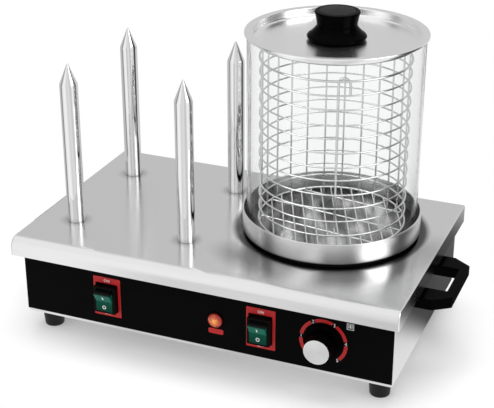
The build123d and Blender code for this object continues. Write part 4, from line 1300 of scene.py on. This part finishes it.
@dataclass
class Steamer:
    """The water pan, glass cylinder, lid and knob."""

    pan_radius: float = 107.0
    pan_bottom_z: float = 133.0
    pan_height: float = 25.0
    pan_sheet: float = 1.0
    pan_corner: float = 2.5
    rim_radius: float = 0.9
    rim_sweep: Spot = (-60.0, 250.0)
    rim_steps: int = 14
    glass_radius: float = 102.0
    glass_wall: float = 3.5
    glass_top_z: float = 375.5
    glass_edge: float = 1.2
    lid_radius: float = 105.0
    lid_top_z: float = 376.5
    lid_well_radius: float = 95.5
    lid_well_depth: float = 9.5
    lid_sheet: float = 1.0
    lid_hem: float = 2.6
    lid_hole: float = 2.7
    lid_corner: float = 3.0
    lid_edge: float = 0.9
    hem_edge: float = 0.4
    inner_edge: float = 0.1
    turns: int = 160
    knob_turns: int = 120
    knob_neck: tuple[Spot, ...] = (
        (31.0, 0.0),
        (34.2, 4.5),
        (28.0, 10.2),
        (23.4, 16.5),
        (24.2, 24.5),
        (26.0, 31.5),
    )
    knob_height: float = 33.3
    knob_radius: float = 26.2
    knob_edge: float = 1.5
    knob_lip: float = 21.6
    knob_well: float = 21.2
    knob_well_depth: float = 0.7
    knob_bore: Spot = (2.55, 15.2)
    knob_top_radius: float = 21.0
    knob_top_rise: float = 0.2
    knob_top_taper: float = 0.1
    knob_lip_edge: float = 0.4

    def build(self) -> None:
        """Build the four pieces in order."""
        axis = (PAN_X, PAN_Y)
        pan = turned(self.pan_profile(), axis, self.turns)
        piece("water_pan_shell", pan, PAN_STEEL, "pan", ("water_pan",))
        glass = turned(self.glass_profile(), axis, self.turns, True)
        piece("glass_cylinder_wall", glass, CLEAR_GLASS, "glass", ("glass_cylinder",))
        lid = turned(self.lid_profile(), axis, self.turns)
        piece("lid_dish_shell", lid, LID_STEEL, "lid", ("lid_dish",))
        self.knob(axis)

    def pan_profile(self) -> np.ndarray:
        """The pan's wall: under the floor, up outside, over the rolled rim and down inside.

        Returns:
            Radius and height, one pair a row.
        """
        low, outer = self.pan_bottom_z, self.pan_radius
        inner, floor = outer - self.pan_sheet, low + self.pan_sheet
        top = low + self.pan_height
        wall_top = top - self.pan_sheet
        outside = rounded([(0, low), (outer, low), (outer, wall_top)], [0, self.pan_corner, 0], CORNER_STEPS)
        turn = np.radians(np.linspace(*self.rim_sweep, self.rim_steps))
        radius = self.rim_radius
        rim = np.stack([outer - radius + radius * np.cos(turn), top + radius * np.sin(turn)], axis=1)
        corner = self.pan_corner - self.pan_sheet
        inside = rounded([(inner, wall_top), (inner, floor), (0, floor)], [0, corner, 0], CORNER_STEPS)
        return np.vstack([outside, rim, inside])

    def glass_profile(self) -> np.ndarray:
        """The glass wall's section, with fire-polished edges.

        Returns:
            Radius and height, one pair a row.
        """
        outer, inner = self.glass_radius, self.glass_radius - self.glass_wall
        low, high = PAN_FLOOR_Z, self.glass_top_z
        corners = [(outer, low), (outer, high), (inner, high), (inner, low)]
        return rounded(corners, [self.glass_edge] * 4, SMALL_CORNER_STEPS, True)

    def lid_profile(self) -> np.ndarray:
        """The lid's sheet: the well's floor, its wall, the flat rim, the hem and back underneath.

        Returns:
            Radius and height, one pair a row.
        """
        top, well, sheet = self.lid_top_z, self.lid_well_radius, self.lid_sheet
        floor, rim = top - self.lid_well_depth, self.lid_radius
        corners = [
            (self.lid_hole, floor - sheet),
            (self.lid_hole, floor),
            (well, floor),
            (well, top),
            (rim, top),
            (rim, top - self.lid_hem),
            (rim - sheet, top - self.lid_hem),
            (rim - sheet, top - sheet),
            (well + sheet, top - sheet),
            (well + sheet, floor - sheet),
            (self.lid_hole, floor - sheet),
        ]
        edges = [self.lid_edge] * 2 + [self.hem_edge] * 2 + [self.inner_edge] * 2
        return rounded(corners, [0, 0, self.lid_corner, *edges, self.lid_corner + sheet, 0])

    def knob(self, axis: Spot) -> None:
        """The waisted knob: a glossy body and a satin top face set into it.

        Args:
            axis: where the knob's axis stands.
        """
        base = self.lid_top_z - self.lid_well_depth
        crown, bed = base + self.knob_height, base + self.knob_height - self.knob_well_depth
        neck = eased([(radius, base + level) for radius, level in self.knob_neck])
        bore, depth = self.knob_bore
        edge = [tuple(neck[-1]), (self.knob_radius, crown), (self.knob_lip, crown)]
        radii = [0, self.knob_edge, self.knob_lip_edge, 0, 0]
        top_edge = rounded(edge + [(self.knob_well, bed), (0.0, bed)], radii, CORNER_STEPS)
        profile = np.vstack([[(0.0, base + depth), (bore, base + depth), (bore, base)], neck, top_edge[1:]])
        body = turned(profile, axis, self.knob_turns)
        piece("lid_knob_body", body, KNOB_BLACK, "lid", ("lid_knob",))
        radius, face = self.knob_top_radius, crown + self.knob_top_rise
        disc = [(0, bed), (radius, bed), (radius - self.knob_top_taper, face), (0, face)]
        top = rounded(disc, [0, 0, self.knob_lip_edge, 0], TINY_CORNER_STEPS)
        piece("lid_knob_top", turned(top, axis), KNOB_TOP_BLACK, "lid")


@dataclass
class Basket:
    """The welded wire basket, with its floor grid and lifting rod."""

    ring_radius: float = 87.0
    wire: float = 1.0
    rim_wire: float = 1.3
    weld: float = 0.25
    uprights: int = 13
    upright_pitch: float = 15.3
    upright_middle: float = 115.2
    rings: int = 13
    pitch: float = 16.8
    floor_height: float = 10.7
    floor_pitch: float = 12.6
    floor_turn: float = 22.5
    floor_wires: int = 13
    floor_shift: float = 5.0
    cross_turn: float = -8.0
    cross_wires: int = 3
    cross_pitch: float = 46.0
    cross_shift: float = 10.0
    rod: float = 1.5
    rod_along: float = 21.8
    rod_height: float = 201.0
    hook: float = 7.0
    hook_tail: float = 12.0
    wire_sides: int = 10
    rod_sides: int = 16
    rod_steps: int = 12
    tail_steps: int = 4
    ring_steps: int = 112
    ring_tilt: float = 0.7
    tilt_turn: float = 2.3

    def build(self) -> None:
        """Build the wires, each kind as one piece."""
        floor = PAN_FLOOR_Z + self.floor_height
        top = floor + (self.rings - 1) * self.pitch
        under = floor - 2 * self.wire + self.weld
        self.finished("basket_upright_wires", self.stands(top), "basket_uprights")
        hoops = [self.ring(floor + k * self.pitch, self.wire, k) for k in range(1, self.rings - 1)]
        self.finished("basket_ring_wires", several(hoops), "basket_rings")
        rims = [self.ring(height, self.rim_wire, 0) for height in (floor, top)]
        self.finished("basket_rim_wires", several(rims), "basket_rims")
        along = spaced(self.floor_wires, self.floor_pitch, self.floor_shift)
        grid = [self.chord(self.floor_turn, place, floor) for place in along]
        self.finished("basket_floor_wires", several(grid), "basket_floor")
        across = spaced(self.cross_wires, self.cross_pitch, -self.cross_shift)
        braces = [self.chord(self.cross_turn - 90, place, under) for place in across]
        self.finished("basket_cross_wires", several(braces), "basket_braces")
        rod = self.lifting_rod(across[-1], under + self.wire - self.weld)
        self.finished("basket_lifting_rod", rod, "basket_lifter")

    def stands(self, top: float) -> Shape:
        """The upright wires, welded inside the rings from the back round to both sides.

        Args:
            top: the level that they reach.

        Returns:
            The shape.
        """
        inner = self.ring_radius - 2 * self.wire + self.weld
        turns = np.radians(spaced(self.uprights, self.upright_pitch, self.upright_middle))
        level = np.full(self.uprights, PAN_FLOOR_Z)
        feet = np.stack([PAN_X + inner * np.cos(turns), PAN_Y + inner * np.sin(turns), level], axis=1)
        return several([self.straight(foot, (0, 0, 1), top - PAN_FLOOR_Z) for foot in feet])

    def chord(self, turn: float, offset: float, height: float) -> Shape:
        """A straight wire across the basket, from rim to rim.

        Args:
            turn: how far its direction is turned from +Y, in degrees.
            offset: how far it runs from the middle.
            height: its level.

        Returns:
            The shape.
        """
        reach = self.ring_radius - self.wire
        half = sqrt(reach**2 - offset**2) + self.weld
        across = np.array([cos(radians(turn)), sin(radians(turn)), 0.0])
        along = np.array([-across[1], across[0], 0.0])
        start = np.array([PAN_X, PAN_Y, height]) + offset * across - half * along
        return self.straight(start, along, 2 * half)

    def finished(self, name: str, shape: Shape, node: str) -> None:
        """Make one bright wire piece in place of its solid.

        Args:
            name: the piece's name.
            shape: its wires.
            node: the solid's name.
        """
        piece(name, shape, WIRE_STEEL, "basket", (node,))

    def straight(self, start: np.ndarray, way: np.ndarray | Point, length: float) -> Shape:
        """A straight wire.

        Args:
            start: its first end.
            way: its unit direction.
            length: how long it is.

        Returns:
            The shape.
        """
        share = np.array([0.0, 0.5, 1.0])[:, None]
        path = np.asarray(start, float) + share * length * np.asarray(way, float)
        up = (0.0, 0.0, 1.0) if abs(way[2]) < 0.5 else (1.0, 0.0, 0.0)
        return carried(path, self.wire, up, self.wire_sides)

    def ring(self, height: float, radius: float, number: int) -> Shape:
        """A ring of wire round the uprights, with the slight tilt of hand welding.

        Its height swings by a cosine of the angle, a fraction of the wire's thickness each way.

        Args:
            height: its level.
            radius: the wire's radius.
            number: its place from the bottom, which sets which way it tilts, or 0 for a level ring.

        Returns:
            The shape.
        """
        angle = np.linspace(0, 2 * pi, self.ring_steps, endpoint=False)
        middle = self.ring_radius + radius - self.wire
        tilt = 0.0 if number == 0 else self.ring_tilt
        level = height + tilt * np.cos(angle - self.tilt_turn * number)
        path = np.stack([PAN_X + middle * np.cos(angle), PAN_Y + middle * np.sin(angle), level], axis=1)
        return carried(path, radius, (0, 0, 1), self.wire_sides, True)

    def lifting_rod(self, offset: float, bottom: float) -> Shape:
        """The rod: straight up, half a turn over in a hook, and a little way down.

        Args:
            offset: how far in front of the middle the cross wire that carries it runs.
            bottom: the level of its foot.

        Returns:
            The shape.
        """
        turn = radians(self.cross_turn)
        x = PAN_X + offset * sin(turn) + self.rod_along * cos(turn)
        y = PAN_Y - offset * cos(turn) + self.rod_along * sin(turn)
        bend = PAN_FLOOR_Z + self.rod_height - self.hook
        sweep = np.linspace(pi, 0, 2 * self.rod_steps + 1)[1:]
        over = np.stack([x + self.hook + self.hook * np.cos(sweep), bend + self.hook * np.sin(sweep)], axis=1)
        rise = np.stack([np.full(self.rod_steps, x), np.linspace(bottom, bend, self.rod_steps)], axis=1)
        drop = np.linspace(0, self.hook_tail, self.tail_steps + 1)[1:]
        fall = np.stack([np.full(self.tail_steps, x + 2 * self.hook), bend - drop], axis=1)
        line = np.vstack([rise, over, fall])
        path = np.stack([line[:, 0], np.full(len(line), y), line[:, 1]], axis=1)
        return carried(path, self.rod, (0, 1, 0), self.rod_sides)


@dataclass
class ControlPanel:
    """Printed frames and scale, rocker marks, lamp lens and dial.

    Sizes are across and up the panel. Distances out of it are counted from its face.
    """

    switches: tuple[tuple[str, float], ...] = (("spike", -121.0), ("plate", 75.0))
    switch_z: float = 66.0
    ink: float = 0.08
    print_edge: float = 0.2
    frame_size: Spot = (35.5, 51.4)
    frame_shift: Spot = (0.6, 1.7)
    frame_corner: float = 1.2
    window_size: Spot = (29.4, 37.0)
    window_rise: float = 0.9
    window_corner: float = 0.6
    letter_height: float = 3.5
    on_rise: float = 23.1
    off_drop: float = 20.6
    scale_stops: tuple[float, ...] = (230.0, 174.0, 118.0, 62.0, 6.0, -50.0)
    scale_radii: Spot = (28.6, 24.4)
    scale_gap: float = 5.5
    scale_steps: int = 14
    number_height: float = 4.2
    label_size: Spot = (18.6, 6.7)
    label_drop: float = 15.4
    label_corner: float = 2.0
    sign_place: Spot = (181.5, 93.2)
    sign_size: Spot = (8.2, 7.7)
    sign_line: float = 0.6
    sign_bars: tuple[Spot, ...] = ((0.0, 1.2), (-1.9, 0.8), (1.9, 0.8))
    sign_bar_height: float = 4.4
    sign_bar_rise: float = 0.2
    mark_depth: float = 0.12
    bar_rise: float = 6.2
    bar_size: Spot = (1.3, 5.0)
    bar_corner: float = 0.3
    ring_drop: float = 7.6
    ring_radii: Spot = (2.4, 1.5)
    ring_steps: int = 32
    rocker_tilt: float = 14.0
    rocker_dip: float = 4.6
    rocker_crest: float = 7.74
    rocker_half: float = 12.6
    pivot_out: float = 3.5
    lens_profile: tuple[Spot, ...] = (
        (0.0, -2.6),
        (5.4, -2.6),
        (5.4, 1.4),
        (8.6, 1.4),
        (8.6, 3.6),
        (6.0, 5.4),
        (0.0, 5.4),
    )
    lens_edges: tuple[float, ...] = (0.0, 0.2, 0.0, 0.2, 1.6, 3.0, 0.0)
    lens_turns: int = 64
    cap_radius: float = 15.0
    cap_back: float = 24.2
    cap_front: float = 25.0
    cap_edges: Spot = (0.1, 0.35)

    def build(self) -> None:
        """Build the prints and then the controls."""
        red, white = self.scale()
        for _, x in self.switches:
            red.append(self.frame(x))
            white.extend(self.frame_words(x))
        label = rectangle((LAMP_X, CONTROL_Z - self.label_drop), *self.label_size, self.label_corner)
        red.append(plate(label, 0.0, self.ink))
        white.extend(self.sign())
        piece("panel_print_red", several(red), RED_INK, "chassis")
        piece("panel_print_white", several(white), WHITE_INK, "chassis")
        self.rocker_marks()
        self.lamp()
        self.dial()

    def frame(self, x: float) -> Shape:
        """The red frame round a switch.

        Args:
            x: the switch's place across the panel.

        Returns:
            The shape.
        """
        middle = (x + self.frame_shift[0], self.switch_z + self.frame_shift[1])
        outer = rectangle(middle, *self.frame_size, self.frame_corner)
        inner = rectangle((x, self.switch_z + self.window_rise), *self.window_size, self.window_corner)
        return band(outer, inner, 0.0, self.ink)

    def frame_words(self, x: float) -> list[Shape]:
        """The words above and below a switch, laid over its frame.

        Args:
            x: the switch's place across the panel.

        Returns:
            The two shapes.
        """
        middle = x + self.frame_shift[0]
        lines = (("ON", self.switch_z + self.on_rise), ("OFF", self.switch_z - self.off_drop))
        return [words(text, (middle, z), self.letter_height, self.ink, self.ink * 2) for text, z in lines]

    def scale(self) -> tuple[list[Shape], list[Shape]]:
        """The dial's scale: red arcs between plain numbers.

        Returns:
            The red shapes and the white ones.
        """
        centre = (DIAL_X, CONTROL_Z)
        red = []
        for start, end in zip(self.scale_stops[:-1], self.scale_stops[1:]):
            span = (start - self.scale_gap, end + self.scale_gap)
            outer, inner = (arc(centre, radius, *span, self.scale_steps) for radius in self.scale_radii)
            red.append(band(outer, inner, 0.0, self.ink, False))
        middle = sum(self.scale_radii) / 2
        places = [arc(centre, middle, angle, angle, 1)[0] for angle in self.scale_stops]
        white = [words(str(k), place, self.number_height, 0.0, self.ink) for k, place in enumerate(places)]
        return red, white

    def sign(self) -> list[Shape]:
        """The small framed sign beside the scale, with three upright bars.

        Returns:
            The shapes.
        """
        x, z = self.sign_place
        width, height = self.sign_size
        outer = rectangle((x, z), width, height, self.print_edge * 1.5)
        inner = rectangle((x, z), width - 2 * self.sign_line, height - 2 * self.sign_line, self.print_edge)
        shapes = [band(outer, inner, 0.0, self.ink)]
        for shift, thick in self.sign_bars:
            bar = rectangle((x + shift, z + self.sign_bar_rise), thick, self.sign_bar_height, self.print_edge)
            shapes.append(plate(bar, 0.0, self.ink))
        return shapes

    def rocker_marks(self) -> None:
        """The plain bar and ring on each rocker, laid on its two sloping faces."""
        bar = plate(rectangle((0, self.bar_rise), *self.bar_size, self.bar_corner), 0.0, self.mark_depth)
        middle, count = (0, -self.ring_drop), self.ring_steps + 1
        outer, inner = (arc(middle, radius, 0.0, 360.0, count)[:-1] for radius in self.ring_radii)
        ring = band(outer, inner, 0.0, self.mark_depth)
        for name, x in self.switches:
            marks = self.laid(bar, x, 1) + self.laid(ring, x, -1)
            piece(f"{name}_rocker_marks", marks, WHITE_INK, f"{name}_rocker")

    def laid(self, flat: Shape, x: float, side: int) -> Shape:
        """Lay a flat mark on one of a rocker's two faces.

        A mark's height up the panel is carried along the face, from the dip at the pivot's level, and
        then everything is turned by the rocker's rest tilt about the pivot.

        Args:
            flat: the mark, drawn on the panel about the pivot.
            x: the rocker's place across the panel.
            side: 1 for the upper face, -1 for the lower.

        Returns:
            The shape in place.
        """
        throw = radians(self.rocker_tilt)
        slope = atan2(self.rocker_crest - self.rocker_dip, self.rocker_half)
        across, out, up = flat.points[:, 0], PANEL_Y - flat.points[:, 1], flat.points[:, 2]
        run = np.abs(up)
        reach = self.rocker_dip + run * sin(slope) + out * cos(slope)
        height = side * (run * cos(slope) - out * sin(slope))
        turned_out = reach * cos(throw) + height * sin(throw)
        turned_up = height * cos(throw) - reach * sin(throw)
        places = [x + across, PANEL_Y - self.pivot_out - turned_out, self.switch_z + turned_up]
        return Shape(np.stack(places, axis=1), flat.faces)

    def lamp(self) -> None:
        """The lamp's domed lens over its collar."""
        profile = rounded(self.lens_profile, self.lens_edges)
        dome = turned_front(profile, (LAMP_X, CONTROL_Z), self.lens_turns)
        piece("lamp_lens_dome", dome, ORANGE_LENS, "chassis", ("lamp_lens",))

    def dial(self) -> None:
        """The spun cap on the dial."""
        back, front, radius = self.cap_back, self.cap_front, self.cap_radius
        section = [(0, back), (radius, back), (radius, front), (0, front)]
        profile = rounded(section, [0, *self.cap_edges, 0], TINY_CORNER_STEPS)
        cap = turned_front(profile, (DIAL_X, CONTROL_Z))
        piece("dial_cap_disc", cap, CAP_SILVER, "dial", ("dial_cap",))


@dataclass
class Housing:
    """Finishes of the solids that stay as they are. A solid that isn't named here is zinc plated."""

    finishes: tuple[tuple[Finish, tuple[str, ...]], ...] = (
        (DECK_STEEL, ("top_cover",)),
        (SIDE_STEEL, ("case_front", "case_back", "case_left", "case_right", "base_plate")),
        (PANEL_BLACK, ("front_panel",)),
        (SATIN_BLACK, ("left_handle", "right_handle", "dial_knob")),
        (BODY_BLACK, ("spike_switch_body", "plate_switch_body", "lamp_body", "cable_gland", "gland_nut")),
        (GREEN_ROCKER, ("spike_switch_rocker", "plate_switch_rocker")),
        (FOOT_RUBBER, ("front_left_foot", "front_right_foot", "rear_left_foot", "rear_right_foot")),
        (FOOT_RUBBER, ("plate_seal",)),
        (CAST_METAL, ("hot_plate",)),
        (HEATER_STEEL, ("ring_heater", "spike_heaters")),
        (PALE_PLASTIC, ("thermostat_body", "terminal_block")),
        (COPPER_TUBE, ("thermostat_bulb",)),
    )

    def build(self, nodes: dict[str, bpy.types.Object]) -> None:
        """Give every solid its finish.

        Args:
            nodes: the solids by name.
        """
        finish_of = {name: finish for finish, names in self.finishes for name in names}
        for name, node in nodes.items():
            node.data.materials.clear()
            node.data.materials.append(material_of(finish_of.get(name, ZINC_STEEL)))
        LOG.info("finished %d solids", len(nodes))


@dataclass(frozen=True)
class Softbox:
    """One rectangular lamp turned towards a point, and whether steel mirrors it. Lengths are metres."""

    name: str
    place: Point
    aim: Point
    width: float
    height: float
    watts: float
    mirrored: bool

    def hang(self) -> None:
        """Add the lamp to the scene."""
        data = bpy.data.lights.new(self.name, "AREA")
        data.shape = "RECTANGLE"
        data.size = self.width
        data.size_y = self.height
        data.energy = self.watts
        lamp = bpy.data.objects.new(self.name, data)
        way = np.asarray(self.aim, float) - np.asarray(self.place, float)
        flat = sqrt(way[0] ** 2 + way[1] ** 2)
        lamp.location = self.place
        lamp.visible_glossy = self.mirrored
        lamp.rotation_euler = (atan2(flat, -way[2]), 0.0, atan2(-way[0], way[1]))
        bpy.context.scene.collection.objects.link(lamp)


@dataclass
class Studio:
    """Floor, world, lamps and the camera."""

    eye: Point = (530.2, -1285.45, 796.4)
    elevation: float = 24.816
    focal_pixels: float = 1260.4
    frame_width: float = 494.0
    sensor: float = 36.0
    far_clip: float = 100.0
    day: float = 0.5
    overhead: float = 0.95
    upward_stops: Stops = ((0.62, 0.0), (0.85, 1.0))
    round_stops: Stops = (
        (0.0, 0.6),
        (0.2, 0.55),
        (0.25, 0.22),
        (0.29, 0.9),
        (0.36, 1.0),
        (0.44, 0.74),
        (0.5, 0.8),
        (0.56, 0.62),
        (0.62, 0.95),
        (0.69, 0.95),
        (0.72, 0.05),
        (0.79, 0.08),
        (0.83, 0.7),
        (1.0, 0.6),
    )
    floor_colour: float = 0.92
    floor_speckle: float = 0.01
    floor_specks: float = 60.0
    floor_stops: Stops = ((0.14, 0.12), (0.27, 1.0))
    floor_squash: Point = (0.6, 1.0, 0.0)
    floor_reach: float = 12.0
    floor_drop: float = 0.0002
    softboxes: tuple[Softbox, ...] = (
        Softbox("overhead", (-0.05, 0.1, 1.9), (0.0, 0.0, 0.1), 1.6, 1.3, 30.0, False),
        Softbox("front_left", (-1.5, -1.4, 1.3), (0.0, 0.0, 0.15), 1.2, 1.4, 9.0, False),
        Softbox("right", (1.7, -0.3, 1.2), (0.0, 0.0, 0.15), 1.1, 1.4, 8.0, True),
    )

    def build(self) -> None:
        """Set up the whole studio, with colours shown as they are written."""
        bpy.context.scene.view_settings.view_transform = "Standard"
        self.camera()
        self.world()
        self.floor()
        for softbox in self.softboxes:
            softbox.hang()

    def camera(self) -> None:
        """Stand the camera where the photograph was taken from."""
        data = bpy.data.cameras.new("camera")
        data.sensor_width = self.sensor
        data.sensor_fit = "HORIZONTAL"
        data.lens = self.focal_pixels / self.frame_width * self.sensor
        data.clip_end = self.far_clip
        camera = bpy.data.objects.new("camera", data)
        camera.location = [c * MM for c in self.eye]
        camera.rotation_euler = (radians(90 - self.elevation), 0.0, radians(CAMERA_AZIMUTH))
        bpy.context.scene.collection.objects.link(camera)
        bpy.context.scene.camera = camera

    def world(self) -> None:
        """A white surround: plain white to the camera, and shaded by direction for steel to mirror."""
        graph = Graph("surround", True)
        direction = graph.add("TexCoord").outputs["Generated"]
        about = graph.ramp(graph.bearing(direction, CAMERA_AZIMUTH), self.round_stops, True)
        upward = graph.ramp(graph.parts(direction)[2], self.upward_stops, True)
        mirrored, lit, seen = (graph.add("Background") for _ in range(3))
        graph.join(graph.tint(upward, about, grey(self.overhead)), mirrored.inputs[0])
        for node, strength in ((lit, self.day), (seen, 1.0)):
            node.inputs[0].default_value = (*grey(1.0), 1.0)
            node.inputs[1].default_value = strength
        path = graph.add("LightPath")
        direct = graph.math("LESS_THAN", path.outputs["Glossy Depth"], 0.5)
        clear = graph.math("MAXIMUM", path.outputs["Is Camera Ray"], path.outputs["Is Transmission Ray"])
        around = graph.either(direct, mirrored.outputs[0], lit.outputs[0])
        whole = graph.either(graph.math("MULTIPLY", clear, direct), around, seen.outputs[0])
        graph.join(whole, graph.out.inputs["Surface"])
        bpy.context.scene.world = graph.owner

    def floor(self) -> None:
        """A pale floor that keeps the machine's shadow and turns plain white away from it.

        Steel mirrors the surround's shades on it too, by bearing from the middle of the four spikes.
        """
        graph = Graph("studio_floor")
        speck = graph.noise(graph.place(), self.floor_specks)
        pale = (grey(self.floor_colour), grey(self.floor_colour + self.floor_speckle))
        diffuse = graph.add("BsdfDiffuse")
        graph.join(graph.tint(speck, *pale), diffuse.inputs[0])
        white, mirrored = graph.add("Emission"), graph.add("Emission")
        white.inputs[0].default_value = (*grey(1.0), 1.0)
        middle = (sum(SPIKE_COLUMNS.values()) / 2 * MM, sum(SPIKE_ROWS.values()) / 2 * MM, 0.0)
        about = graph.bearing(graph.place(centre=middle), CAMERA_AZIMUTH)
        graph.join(graph.ramp(about, self.round_stops, True), mirrored.inputs[0])
        far = graph.ramp(graph.length(graph.place(self.floor_squash)), self.floor_stops, True)
        path = graph.add("LightPath")
        clear = graph.math("MAXIMUM", path.outputs["Is Transmission Ray"], path.outputs["Is Camera Ray"])
        seen = graph.either(graph.math("MULTIPLY", clear, far), diffuse.outputs[0], white.outputs[0])
        reflected = graph.math("GREATER_THAN", path.outputs["Glossy Depth"], 0.5)
        graph.join(graph.either(reflected, seen, mirrored.outputs[0]), graph.out.inputs["Surface"])
        square = np.array([[-1, -1], [1, -1], [1, 1], [-1, 1]]) * self.floor_reach
        mesh = bpy.data.meshes.new("floor")
        mesh.from_pydata(np.hstack([square, np.full((4, 1), -self.floor_drop)]).tolist(), [], [[0, 1, 2, 3]])
        mesh.materials.append(graph.owner)
        floor = bpy.data.objects.new("floor", mesh)
        bpy.context.scene.collection.objects.link(floor)


def main() -> None:
    """Build the studio and dress every sub-assembly."""
    logging.basicConfig(level=logging.INFO, format="%(message)s")
    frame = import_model()
    Studio().build()
    Housing().build(frame["nodes"])
    for assembly in (Spikes(), Steamer(), Basket(), ControlPanel()):
        assembly.build()


if __name__ == "__main__":
    main()
